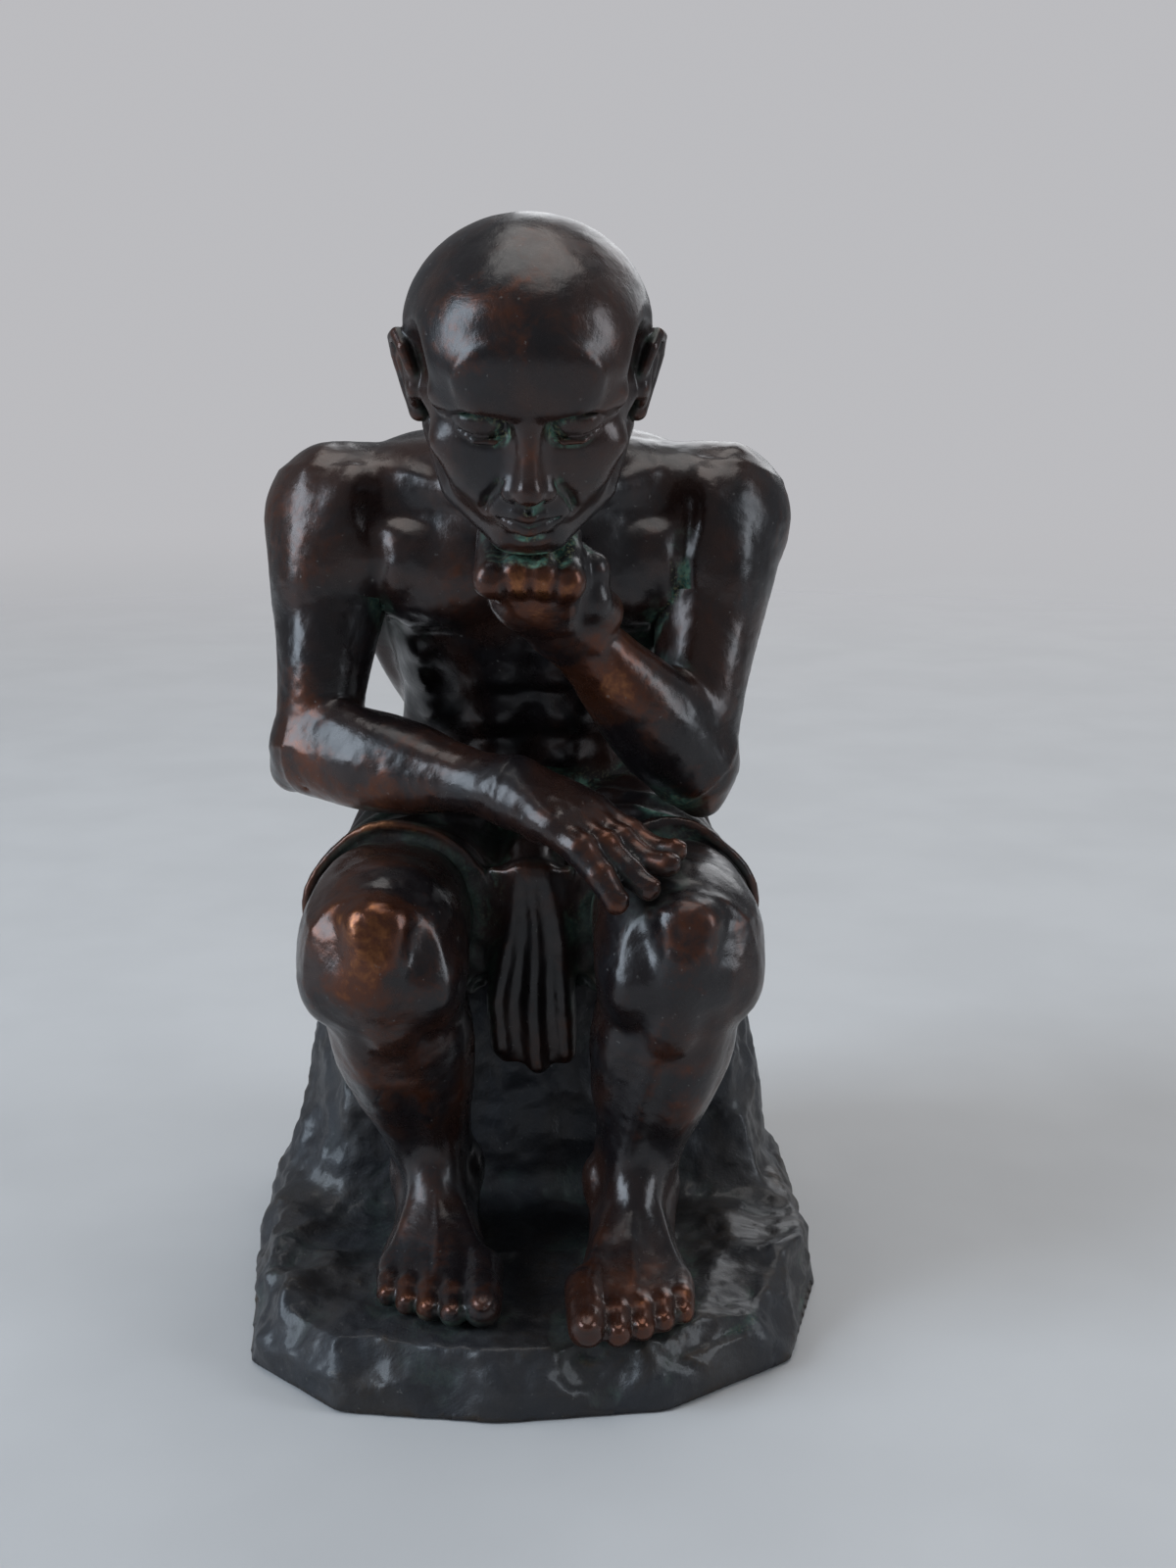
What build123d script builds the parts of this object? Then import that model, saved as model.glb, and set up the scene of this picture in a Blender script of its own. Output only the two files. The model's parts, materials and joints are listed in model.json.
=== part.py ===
from build123d import *
import os
from math import cos, pi, sin, sqrt

# Small cast-bronze statuette of a seated figure deep in thought, on a rough rock.
# Frame: +Z up, the figure looks along -Y, +X is the figure's left side.
# The origin is the centre of the flat underside. Sizes are in millimetres.

# Base: a low chipped plinth with a rock seat rising from it, one hollow casting
plinth_width = 70.0
plinth_depth = 84.0
plinth_height = 8.0
plinth_roof = 3.0
rim_width = 5.0
seat_rise = 29.0
rock_wall = 3.5

# Legs and lap
knee_rise = 38.5
thigh_length = 45.0
hip_setback = 26.0
hip_half_span = 11.0
knee_half_span = 17.0
ankle_half_span = 11.5
lap_radius = 10.8
left_ankle_setback = -15.0
right_ankle_setback = -10.0
ankle_rise = 8.0
shank_radius = 8.8
knee_radius = 9.6
foot_length = 29.0
foot_half_width = 7.4
toe_radius = 1.6
big_toe_radius = 2.4
toe_length = 5.4

# Trunk, shoulders and arms
waist_rise = 14.0
torso_rise = 49.0
torso_lean = 18.0
chest_half_width = 17.6
chest_half_depth = 13.0
torso_wall = 4.0
shoulder_half_span = 23.2
shoulder_drop = 8.0
shoulder_radius = 8.8
upper_arm_radius = 7.6
elbow_radius = 5.6
forearm_radius = 6.2
wrist_radius = 4.2
finger_radius = 1.9
thumb_radius = 2.1
palm_length = 10.5
palm_half_width = 6.4
palm_half_depth = 3.8
finger_length = 10.5
right_elbow_span = 26.0
left_elbow_span = 19.5
left_elbow_setback = 1.0

# Head
head_height = 32.5
head_width = 26.0
head_depth = 29.5
head_bow = 28.0
head_lead = 23.0
head_lift = 10.0
neck_radius = 9.4

# Cloth wrapped about the hips: skirt over the lap, roll at the waist, end hanging between the knees
cloth_fold = 0.5
hem_setback = 33.0
swag_half_width = 5.0
swag_drop = 23.0
swag_thickness = 2.6
fold_radius = 1.2
knot_radius = 3.2

# Hidden hardware
fit_gap = 0.05
rest_gap = 0.3
plate_gap = 0.4
felt_thickness = 1.2
plate_thickness = 1.5
screw_radius = 1.25
screw_head_radius = 2.3
screw_length = 4.5
boss_radius = 3.2
boss_gap = 0.6
bolt_radius = 2.5
bolt_head_radius = 4.4
bolt_head_height = 3.2
bolt_grip = 8.0
bolt_bore_gap = 0.3
washer_radius = 6.0
washer_thickness = 1.0
washer_gap = 1.0
stud_radius = 1.5
stud_grip = 5.0
nut_radius = 2.9
nut_height = 2.0
dowel_radius = 1.6
dowel_grip = 5.0
chin_dowel_radius = 1.0
core_hole_radius = 2.6
overrun = 2.0

# Counts
ring_points = 10
toes = 5
fingers = 4
swag_layers = 3

# Places that follow from the sizes above
sole_z = plinth_height
seat_z = sole_z + seat_rise
knee_z = sole_z + knee_rise
knee_y = hip_setback - thigh_length
hem_y = hip_setback - hem_setback
waist_z = seat_z + waist_rise
neck_z = waist_z + torso_rise
neck_y = hip_setback - torso_lean
shoulder_y = neck_y + torso_lean * 0.18
shoulder_z = neck_z - shoulder_drop
recess_top = plinth_height - plinth_roof
plate_top = felt_thickness + plate_thickness

UP = Vector(0, 0, 1)
BACK = Vector(0, 1, 0)
LEFT = Vector(1, 0, 0)


def at(*numbers):
    """A point or a direction."""
    return Vector(*numbers)


def between(start, end, share):
    """The point that lies that share of the way from start to end."""
    return start + (end - start) * share


def level(x, y, z):
    """Horizontal plane whose local Y points to the figure's front."""
    return Plane(origin=(x, y, z), x_dir=LEFT * -1, z_dir=UP)


def upright(x, y, z):
    """Plane square to the figure's depth, local X to its left and local Y up."""
    return Plane(origin=(x, y, z), x_dir=LEFT, z_dir=BACK * -1)


def across(start, end, share, hint=BACK):
    """Plane square to a limb, at that share of its length."""
    direction = (end - start).normalized()
    return Plane(origin=between(start, end, share), x_dir=direction.cross(hint), z_dir=direction)


def ring(place, half_width, ahead, behind):
    """Closed smooth outline: an oval that may be deeper on one side than on the other."""
    points = []
    for k in range(ring_points):
        angle = 2 * pi * k / ring_points
        depth = ahead if sin(angle) > 0 else behind
        points.append((half_width * cos(angle), depth * sin(angle)))
    return place * make_face(Spline(*points, periodic=True))


def limb(start, end, radius, rows, hint=BACK):
    """Loft along a bone. Each row holds shares: place, half width, depth ahead, depth behind."""
    sections = []
    for place, wide, ahead, behind in rows:
        plane = across(start, end, place, hint)
        sections.append(ring(plane, radius * wide, radius * ahead, radius * behind))
    return loft(sections)


def ball(centre, radius):
    return Pos(*centre) * Sphere(radius)


def capsule(start, end, start_radius, end_radius):
    """Round cone: two balls and the cone that touches both, as one turned solid."""
    reach = (end - start).length
    lean = (start_radius - end_radius) / reach
    rise = sqrt(1 - lean * lean)
    half = sqrt((1 + lean) / 2)
    other = sqrt((1 - lean) / 2)
    foot = (start_radius * rise, start_radius * lean)
    tip = (end_radius * rise, reach + end_radius * lean)
    foot_middle = (start_radius * half, -start_radius * other)
    tip_middle = (end_radius * other, reach + end_radius * half)
    outline = (
        ThreePointArc((0, -start_radius), foot_middle, foot)
        + Line(foot, tip)
        + ThreePointArc(tip, tip_middle, (0, reach + end_radius))
        + Line((0, reach + end_radius), (0, -start_radius))
    )
    turned = revolve(Plane.XZ * make_face(outline), Axis.Z)
    direction = (end - start).normalized()
    side = direction.cross(BACK)
    if side.length < 0.1:
        side = direction.cross(UP)
    return Plane(origin=start, x_dir=side, z_dir=direction) * turned


def rod(start, end, radius):
    """Plain cylinder from start to end."""
    place = Plane(origin=start, z_dir=(end - start).normalized())
    return place * extrude(Circle(radius), (end - start).length)


def pin(start, end, share, radius, grip):
    """Dowel along a bone, as long on either side of the seam at that share."""
    axis = (end - start).normalized()
    middle = between(start, end, share)
    return rod(middle - axis * grip, middle + axis * grip, radius)


def one(shape):
    """The largest solid of a shape, without crumbs left by a cut."""
    return Part() + max(shape.solids(), key=lambda solid: solid.volume)


# Rock and plinth

plinth_outline_shares = (
    (-0.62, -0.93), (-0.12, -1.0), (0.42, -0.95), (0.84, -0.70), (1.0, -0.22), (0.96, 0.42),
    (0.80, 0.90), (0.20, 1.0), (-0.50, 0.97), (-0.93, 0.70), (-1.0, -0.05), (-0.93, -0.66),
)
rock_foot_shares = (
    (-0.74, -0.04), (-0.16, -0.10), (0.44, -0.03), (0.86, 0.02), (0.94, 0.40), (0.84, 0.84),
    (0.22, 0.95), (-0.44, 0.94), (-0.90, 0.74), (-0.95, 0.22),
)
rock_waist_shares = (
    (-0.70, 0.04), (-0.20, -0.04), (0.40, 0.05), (0.76, 0.08), (0.86, 0.42), (0.74, 0.84),
    (0.26, 0.91), (-0.40, 0.92), (-0.80, 0.68), (-0.85, 0.30),
)
rock_seat_shares = (
    (-0.62, 0.12), (-0.18, 0.06), (0.30, 0.10), (0.68, 0.13), (0.78, 0.42), (0.68, 0.80),
    (0.24, 0.88), (-0.30, 0.87), (-0.70, 0.74), (-0.76, 0.40),
)
boss_corners = (11, 3, 6, 9)
core_plug_height_shares = (0.30, 0.68)
# facets struck off the rock's edges: corner, depth in walls at the foot and at the top, turn
rock_chip_shares = (
    (0, 0.50, -0.30, 0.12), (1, -0.35, 0.55, -0.10), (2, 0.50, -0.40, 0.10), (3, -0.30, 0.55, -0.14),
    (4, 0.55, -0.20, 0.10), (5, -0.40, 0.55, 0.12), (6, 0.45, -0.30, -0.10), (7, -0.30, 0.50, 0.12),
    (8, 0.55, -0.10, -0.10), (9, -0.35, 0.55, 0.12),
)
# boulders on the plinth: middle in shares of its half width and half depth,
# half length and half width in shares of its half width, rise in plinth heights, turn in degrees
boulder_shares = (
    (-0.75, -0.42, 0.34, 0.17, 0.72, 84), (0.79, -0.24, 0.34, 0.15, 0.52, 96),
    (0.70, -0.66, 0.17, 0.12, 0.30, 62),
)
# corners of a boulder's outline, and its girth and rise on the way up
boulder_corners = ((1.0, 0.15), (0.50, 0.95), (-0.45, 1.0), (-1.0, 0.10), (-0.60, -0.90), (0.45, -1.0))
boulder_levels = ((1.0, -0.3), (0.92, 0.35), (0.50, 1.0))


def drawn_in(shares, inset):
    """Corners of the base's outline, drawn in by a wall or a clearance."""
    half_width = plinth_width / 2
    half_depth = plinth_depth / 2
    middle_x = sum(x for x, _ in shares) / len(shares) * half_width
    middle_y = sum(y for _, y in shares) / len(shares) * half_depth
    points = []
    for x, y in shares:
        from_x = x * half_width - middle_x
        from_y = y * half_depth - middle_y
        reach = sqrt(from_x * from_x + from_y * from_y)
        keep = (reach - inset) / reach
        points.append((middle_x + from_x * keep, middle_y + from_y * keep))
    return points


def slab_outline(shares, z, inset):
    """Irregular polygon of the base at a height, drawn in all round."""
    return Plane.XY.offset(z) * make_face(Polyline(*drawn_in(shares, inset), close=True))


def rock_block(inset, foot, top):
    """Rough block of the seat, from its foot up to its top."""
    middle = foot + (top - foot) / 2
    outlines = [
        slab_outline(rock_foot_shares, foot, inset),
        slab_outline(rock_waist_shares, middle, inset),
        slab_outline(rock_seat_shares, top, inset),
    ]
    return loft(outlines, ruled=True)


def plinth_slab(foot, top, chamfer):
    """Low slab under the rock, widest just above its foot."""
    outlines = [
        slab_outline(plinth_outline_shares, foot, chamfer / 3),
        slab_outline(plinth_outline_shares, foot + (top - foot) / 2, 0),
        slab_outline(plinth_outline_shares, top, chamfer),
    ]
    return loft(outlines, ruled=True)


def rock_chip(corner, foot_share, top_share, turn):
    """Space beyond a facet struck off one upright edge of the rock."""
    foot = at(*drawn_in(rock_foot_shares, rock_wall * foot_share)[corner], sole_z - plinth_roof / 2)
    top = at(*drawn_in(rock_seat_shares, rock_wall * top_share)[corner], seat_z)
    corners = drawn_in(rock_foot_shares, 0)
    along = (at(*corners[(corner + 1) % len(corners)], 0) - at(*corners[corner - 1], 0)).normalized()
    tangent = along + along.cross(UP) * turn
    facet = Plane(origin=foot, x_dir=tangent, z_dir=tangent.cross(top - foot))
    return facet * Box(
        plinth_depth, plinth_depth, plinth_depth, align=(Align.CENTER, Align.CENTER, Align.MIN))


def boulder(x, y, length, width, rise, turn):
    """Blunt lump with six sides that narrows to its top."""
    half_width = plinth_width / 2
    outlines = []
    for girth, level_share in boulder_levels:
        scale_x = half_width * length * girth
        scale_y = half_width * width * girth
        corners = [(corner_x * scale_x, corner_y * scale_y) for corner_x, corner_y in boulder_corners]
        centre = (x * half_width, y * plinth_depth / 2, sole_z + plinth_height * rise * level_share)
        outlines.append(Pos(*centre) * Rot(0, 0, turn) * make_face(Polyline(*corners, close=True)))
    return loft(outlines, ruled=True)


def rock_outer():
    slab = plinth_slab(0, plinth_height, rim_width / 2)
    block = rock_block(0, sole_z - plinth_roof / 2, seat_z) - [rock_chip(*row) for row in rock_chip_shares]
    return slab + [block, *[boulder(*row) for row in boulder_shares]]


def rock_core():
    """Hollow of the rock, closed by the seat above and open to the plinth's recess below.
    Its mouth is narrower than the hollow, which leaves a ledge for the bosses."""
    foot = recess_top - plinth_roof / 2
    top = seat_z - rock_wall
    ledge = rock_wall + 2 * boss_radius
    outlines = [
        slab_outline(rock_foot_shares, foot, ledge),
        slab_outline(rock_foot_shares, sole_z, ledge),
        slab_outline(rock_waist_shares, foot + (top - foot) / 2, rock_wall),
        slab_outline(rock_seat_shares, top, rock_wall),
    ]
    return loft(outlines, ruled=True)


def boss_places():
    """Centres of the four bosses that hold the closing plate, inside the outline's corners."""
    corners = drawn_in(plinth_outline_shares, rim_width + plate_gap + boss_radius + boss_gap)
    return [corners[k] for k in boss_corners]


def core_plug_rods(radius):
    """Round plugs of the core holes, through the back wall of the rock."""
    rods = []
    for height in core_plug_height_shares:
        z = sole_z + height * seat_rise
        rods.append(rod(at(0, plinth_depth / 4, z), at(0, plinth_depth / 2, z), radius))
    return rods


def make_rock_base(outer):
    recess = extrude(slab_outline(plinth_outline_shares, -overrun, rim_width), recess_top + overrun)
    body = outer - recess - rock_core()
    for x, y in boss_places():
        body += rod(at(x, y, plate_top), at(x, y, recess_top + plinth_roof / 3), boss_radius)
    holes = []
    for x, y in boss_places():
        holes.append(rod(at(x, y, 0), at(x, y, recess_top + plinth_roof / 2), screw_radius + fit_gap))
    bore_foot = at(0, bolt_y, seat_z - rock_wall - overrun)
    holes.append(rod(bore_foot, at(0, bolt_y, seat_z + overrun), bolt_radius + bolt_bore_gap))
    for place in stud_places:
        holes.append(rod(place - UP * plinth_height, place + UP * overrun, stud_radius + fit_gap))
    return one(body - holes - core_plug_rods(core_hole_radius + fit_gap))


def make_core_plugs(outer):
    solid_wall = outer - rock_core()
    return [one(plug & solid_wall) for plug in core_plug_rods(core_hole_radius)]


# Legs

left_knee = at(knee_half_span, knee_y, knee_z)
right_knee = at(-knee_half_span, knee_y, knee_z)
left_ankle = at(ankle_half_span, left_ankle_setback, sole_z + ankle_rise)
right_ankle = at(-ankle_half_span, right_ankle_setback, sole_z + ankle_rise)
stud_places = [at(ankle.X, ankle.Y - ankle_rise, sole_z) for ankle in (left_ankle, right_ankle)]

# along the thigh, half width, depth above, depth below
thigh_shares = ((0, 0.98, 0.98, 0.94), (0.5, 0.99, 1.0, 0.96), (1.0, 0.94, 0.96, 0.90))
# along the shank, half width, depth ahead, depth behind
shank_shares = (
    (0, 0.98, 1.02, 0.96), (0.18, 0.94, 0.90, 0.98), (0.40, 1.0, 0.82, 1.16), (0.60, 0.84, 0.72, 0.98),
    (0.80, 0.62, 0.58, 0.68), (0.93, 0.59, 0.56, 0.62), (1.06, 0.60, 0.56, 0.64),
)
# along the foot from the ankle, half width, height, height of the widest place
foot_shares = (
    (-0.22, 0.42, 0.56, 0.40), (-0.14, 0.64, 0.90, 0.50), (0.04, 0.72, 1.22, 0.56), (0.24, 0.78, 1.12, 0.6),
    (0.44, 0.92, 0.82, 0.5), (0.64, 1.0, 0.58, 0.4), (0.74, 0.92, 0.44, 0.3),
)


def hem_place(side):
    """Centre of a thigh where it leaves the skirt."""
    share = hem_setback / thigh_length
    return at(side * (hip_half_span + (knee_half_span - hip_half_span) * share), hem_y, knee_z)


def hip_place(side):
    """Centre of a thigh at the hip."""
    return at(side * hip_half_span, hip_setback, knee_z)


def foot_ring(ankle, row):
    """Section of a foot square to its length: flat sole, domed top."""
    place, wide, high, low = row
    half = foot_half_width * wide
    height = ankle_rise * high
    brim = ankle_rise * low
    points = [
        (half * 0.7, 0), (half, brim * 0.7), (half * 0.72, height * 0.75), (0, height),
        (-half * 0.72, height * 0.75), (-half, brim * 0.7), (-half * 0.7, 0),
    ]
    outline = Spline(*points) + Line(points[-1], points[0])
    return upright(ankle.X, ankle.Y - foot_length * place, sole_z) * make_face(outline)


def make_thigh(hem, knee):
    """Bare end of the thigh, from a flat face at the hem to the knee."""
    sections = []
    for share, wide, above, below in thigh_shares:
        place = between(hem, knee, share)
        plane = upright(place.X, place.Y, place.Z)
        sections.append(ring(plane, knee_radius * wide, knee_radius * above, knee_radius * below))
    return loft(sections)


def make_toes(ankle, side):
    root = ankle.Y - foot_length * foot_shares[-2][0]
    pitch = 2 * foot_half_width / toes
    solids = []
    for k in range(toes):
        radius = big_toe_radius if k == 0 else toe_radius
        x = ankle.X + side * (k * pitch - foot_half_width + radius)
        setback = toe_radius * 0.5 * k * k / toes
        start = at(x, root + setback, sole_z + radius)
        solids.append(capsule(start, start - BACK * (toe_length - setback / 3), radius, radius * 0.9))
    return solids


def make_leg(knee, ankle, side):
    """Knee, shank and bare foot. It starts at the hem, where the thigh enters the skirt."""
    hem = hem_place(side)
    cap = between(knee, ankle, 0.06) - BACK * knee_radius * 0.50
    leg = make_thigh(hem, knee) + [
        ball(knee, knee_radius * 0.98),
        ball(cap, knee_radius * 0.62),
        limb(knee, ankle, shank_radius, shank_shares),
        loft([foot_ring(ankle, row) for row in foot_shares]),
        *make_toes(ankle, side),
    ]
    span = plinth_depth / 2
    skirt_room = Pos(knee.X, hem_y, seat_z - rest_gap) * Box(
        span, span, span, align=(Align.CENTER, Align.MIN, Align.MIN))
    stud_place = at(ankle.X, ankle.Y - ankle_rise, sole_z)
    stud_end = stud_place + UP * (stud_grip + fit_gap)
    stud_hole = rod(stud_place - UP * overrun, stud_end, stud_radius + fit_gap)
    dowel_hole = rod(hem + BACK * overrun, hem - BACK * (dowel_grip + fit_gap), dowel_radius + fit_gap)
    return one(leg - [skirt_room, stud_hole, dowel_hole])


# Skirt

# along the covered thigh from hip to hem, half width, height above, depth below
skirt_shares = (
    (0, 1.08, 1.12, 1.0), (0.35, 1.04, 1.02, 1.0), (0.7, 0.98, 0.97, 1.0), (1.0, 1.02, 1.02, 1.02),
)
seat_girth_share = 1.14
web_height_share = 0.5
# folds over a thigh: share from hip to hem and degrees outwards from its top, at three places
fold_turns = (
    ((0.45, -43), (0.61, -19), (0.71, 3)),
    ((0.24, 14), (0.32, 50), (0.42, 84)),
)


def covered_thigh(side):
    """One thigh under the cloth, from the hip to a flat face at the hem."""
    hip = hip_place(side)
    sections = []
    for share, wide, above, below in skirt_shares:
        place = between(hip, hem_place(side), share)
        plane = upright(place.X, place.Y, place.Z)
        sections.append(ring(plane, lap_radius * wide, lap_radius * above, lap_radius * below))
    return loft(sections)


def lap_web():
    """Cloth and seat between the thighs."""
    top = knee_z + lap_radius * web_height_share
    sections = []
    for place in (hip_place(1), hem_place(1)):
        outline = Rectangle(2 * place.X, top - seat_z, align=(Align.CENTER, Align.MIN))
        sections.append(upright(0, place.Y, seat_z) * outline)
    return loft(sections, ruled=True)


def make_swag():
    """End of the cloth that hangs between the knees, in layers that get shorter to the front."""
    top = knee_z + lap_radius * web_height_share
    step = swag_thickness / swag_layers
    layers = []
    for k in range(swag_layers):
        half = swag_half_width * (1 - 0.16 * k)
        drop = swag_drop * (1 - 0.24 * k)
        curve = ThreePointArc((-half, half - drop), (0, -drop), (half, half - drop))
        rest = Polyline((half, half - drop), (half, 0), (-half, 0), (-half, half - drop))
        sheet = extrude(make_face(curve + rest), step + overrun)
        layers.append(upright(0, hem_y - step * k + overrun, top) * sheet)
    return layers


def on_lap(side, share, turn):
    """Place on the cloth over a thigh."""
    angle = turn * pi / 180
    out = at(side * sin(angle), 0, cos(angle))
    return between(hip_place(side), hem_place(side), share) + out * lap_radius


def cloth_folds():
    """Knot at the waist, the cloth from it over the lap, and the main folds over the thighs."""
    _, setback, _, ahead, _ = roll_shares[1]
    knot = at(0, neck_y + torso_lean * setback - chest_half_depth * ahead, waist_z + knot_radius * 1.4)
    lap_end = at(0, hem_y + swag_thickness / 2, knee_z + lap_radius * web_height_share - fold_radius / 2)
    lap_cloth = capsule(knot - UP * fold_radius, lap_end, fold_radius * 2, swag_thickness)
    folds = [ball(knot, knot_radius), lap_cloth]
    for side in (1, -1):
        for spots in fold_turns:
            places = [on_lap(side, *spot) for spot in spots]
            for start, end in zip(places, places[1:]):
                folds.append(capsule(start, end, fold_radius, fold_radius * 0.9))
    return folds


def skirt_hollow():
    """Core space of the skirt, open to the rock below."""
    front = rock_seat_shares[2][1] * plinth_depth / 2 + rock_wall
    back = hip_setback + lap_radius - torso_wall
    outline = RectangleRounded(2 * hip_half_span, back - front, torso_wall)
    height = waist_rise - torso_wall + overrun
    return Pos(0, (front + back) / 2, seat_z - overrun) * extrude(outline, height)


def make_skirt():
    girth = lap_radius * seat_girth_share
    body = lap_web() + [
        covered_thigh(1),
        covered_thigh(-1),
        capsule(hip_place(1), hip_place(-1), girth, girth),
        *make_swag(),
        torso_loft(0, roll_shares),
        *cloth_folds(),
    ]
    torso_room = torso_loft(rest_gap, torso_shares[:4])
    bore_foot = at(0, bolt_y, seat_z - overrun)
    bolt_hole = rod(bore_foot, at(0, bolt_y, waist_z + overrun), bolt_radius + bolt_bore_gap)
    rock_room = Pos(0, hem_y, seat_z) * Box(
        plinth_width, plinth_depth, seat_rise, align=(Align.CENTER, Align.MIN, Align.MAX))
    holes = [torso_room, skirt_hollow(), bolt_hole, rock_room]
    for side in (1, -1):
        hem = hem_place(side)
        deep_end = hem + BACK * (dowel_grip + fit_gap)
        holes.append(rod(hem - BACK * overrun, deep_end, dowel_radius + fit_gap))
    return one(body - holes)


# Torso

# rise, setback, half width, depth ahead, depth behind
torso_shares = (
    (0.0, 0.90, 0.86, 0.84, 0.78), (0.10, 0.86, 0.82, 0.82, 0.80), (0.22, 0.78, 0.82, 0.84, 0.86),
    (0.40, 0.62, 0.92, 0.92, 1.0), (0.60, 0.42, 1.0, 1.0, 1.10), (0.78, 0.26, 1.0, 0.92, 1.10),
    (0.91, 0.14, 0.80, 0.70, 0.96), (0.98, 0.10, 0.50, 0.46, 0.62),
)
# rolled cloth about the waist, in the same terms
roll_shares = (
    (0.03, 0.89, 0.94, 0.96, 0.90), (0.09, 0.87, 1.02, 1.02, 0.98), (0.16, 0.83, 0.92, 0.94, 0.92),
)
# chest, shoulder blades and flanks: two ends across, behind the middle line and up, girth at each
trunk_form_shares = (
    ((0.24, -0.50, 0.70), (0.68, -0.36, 0.75), 0.47, 0.48),
    ((0.42, 0.42, 0.62), (0.62, 0.48, 0.84), 0.55, 0.56),
    ((0.80, 0.12, 0.66), (0.50, 0.42, 0.28), 0.49, 0.36),
)
spine_foot_share = 0.92
spine_lean_share = 0.85
arm_seam_share = 0.36
elbow_seam_share = 0.27
neck_seam_share = 0.5
# along the upper arm, half width, depth ahead, depth behind
shoulder_shares = ((0, 1.04, 1.08, 1.08), (0.2, 1.10, 1.14, 1.12), (arm_seam_share, 1.0, 1.06, 1.02))
# along the neck, half width, depth ahead, depth behind
collar_shares = ((0, 1.20, 1.06, 1.06), (0.25, 1.08, 0.98, 1.04), (neck_seam_share, 0.98, 0.94, 1.0))
nape_shares = ((neck_seam_share, 0.98, 0.94, 1.0), (0.75, 0.94, 0.90, 1.0), (1.0, 0.92, 0.90, 0.98))


def torso_loft(grow, rows):
    """Loft of the trunk, grown or drawn in all round."""
    sections = []
    for rise, setback, wide, front, back in rows:
        place = level(0, neck_y + torso_lean * setback, waist_z + torso_rise * rise)
        ahead = chest_half_depth * front + grow
        behind = chest_half_depth * back + grow
        sections.append(ring(place, chest_half_width * wide + grow, ahead, behind))
    return loft(sections)


def on_trunk(across_share, behind_share, rise_share):
    """Place by the leaning middle line of the trunk."""
    middle = neck_y + torso_lean * (spine_foot_share - spine_lean_share * rise_share)
    y = middle + chest_half_depth * behind_share
    return at(chest_half_width * across_share, y, waist_z + torso_rise * rise_share)


def trunk_forms(grow):
    """Rounded masses of the chest, the shoulder blades and the flanks, grown all round."""
    forms = []
    for start, end, start_girth, end_girth in trunk_form_shares:
        for side in (1, -1):
            near = on_trunk(side * start[0], *start[1:])
            far = on_trunk(side * end[0], *end[1:])
            near_radius = chest_half_depth * start_girth + grow
            forms.append(capsule(near, far, near_radius, chest_half_depth * end_girth + grow))
    return forms


def trapezius(start, shoulder, share, girth):
    """Slope from the neck out towards the top of a shoulder."""
    return capsule(start, between(start, shoulder, share), neck_radius * girth, shoulder_radius * girth)


def make_torso():
    """Trunk with both shoulders and the root of the neck, cut square across each limb."""
    collar = limb(neck_root, nape, neck_radius, collar_shares)
    body = torso_loft(0, torso_shares) + [collar, *trunk_forms(0)]
    for shoulder, elbow in ((left_shoulder, left_elbow), (right_shoulder, right_elbow)):
        body += [
            trapezius(neck_root, shoulder, 0.8, 0.98),
            trapezius(between(neck_root, nape, 0.25), shoulder, 0.68, 0.70),
            ball(shoulder, shoulder_radius),
            limb(shoulder, elbow, upper_arm_radius, shoulder_shares),
        ]
    holes = [torso_loft(-torso_wall, torso_shares[2:5])]
    bolt_foot = at(0, bolt_y, waist_z - overrun)
    holes.append(rod(bolt_foot, at(0, bolt_y, waist_z + bolt_grip + fit_gap), bolt_radius + fit_gap))
    vent_y = neck_y + torso_lean * torso_shares[0][1] - chest_half_depth * torso_shares[0][3] / 2
    vent_top = waist_z + torso_rise * torso_shares[3][0]
    holes.append(rod(at(0, vent_y, waist_z - overrun), at(0, vent_y, vent_top), core_hole_radius))
    holes.append(neck_dowel_rod(fit_gap))
    holes.append(arm_dowel_rod(left_shoulder, left_elbow, arm_seam_share, fit_gap))
    holes.append(arm_dowel_rod(right_shoulder, right_elbow, arm_seam_share, fit_gap))
    return one(body - holes)


# Head

head_centre = at(0, neck_y - head_lead, neck_z + head_lift)
bow_angle = head_bow * pi / 180
head_plane = Plane(origin=head_centre, x_dir=LEFT * -1, z_dir=at(0, -sin(bow_angle), cos(bow_angle)))

# height, centre ahead, half width, depth ahead, depth behind
skull_shares = (
    (-0.50, 0.280, 0.190, 0.120, 0.130), (-0.44, 0.225, 0.280, 0.205, 0.190),
    (-0.32, 0.120, 0.375, 0.300, 0.280), (-0.18, 0.050, 0.425, 0.380, 0.330),
    (-0.03, 0.0, 0.460, 0.430, 0.415), (0.10, 0.0, 0.485, 0.455, 0.470),
    (0.24, 0.0, 0.500, 0.440, 0.495), (0.37, 0.0, 0.430, 0.362, 0.420),
    (0.455, 0.0, 0.300, 0.245, 0.290), (0.50, 0.0, 0.120, 0.100, 0.115),
)


bead_share = 0.055
# brow, lid, lips and ear: start and end on the head, girth at each in beads
face_shares = (
    ((0.05, 0.435, 0.10), (0.30, 0.36, 0.10), 0.9, 0.7),
    ((0.14, 0.37, 0.005), (0.24, 0.345, 0), 1.2, 1.0),
    ((0, 0.40, -0.285), (0.11, 0.375, -0.29), 0.7, 0.45),
    ((0.462, -0.05, 0.04), (0.44, -0.02, -0.13), 1.25, 1.0),
)


def on_head(x, y, z):
    """Point on the bowed head: x to its right ear, y ahead through the nose, z to the crown."""
    return head_plane.from_local_coords(at(x * head_width, y * head_depth, z * head_height))


neck_root = at(0, neck_y + neck_radius * 0.4, neck_z - neck_radius * 0.7)
nape = on_head(0, -0.14, -0.14)


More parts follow.
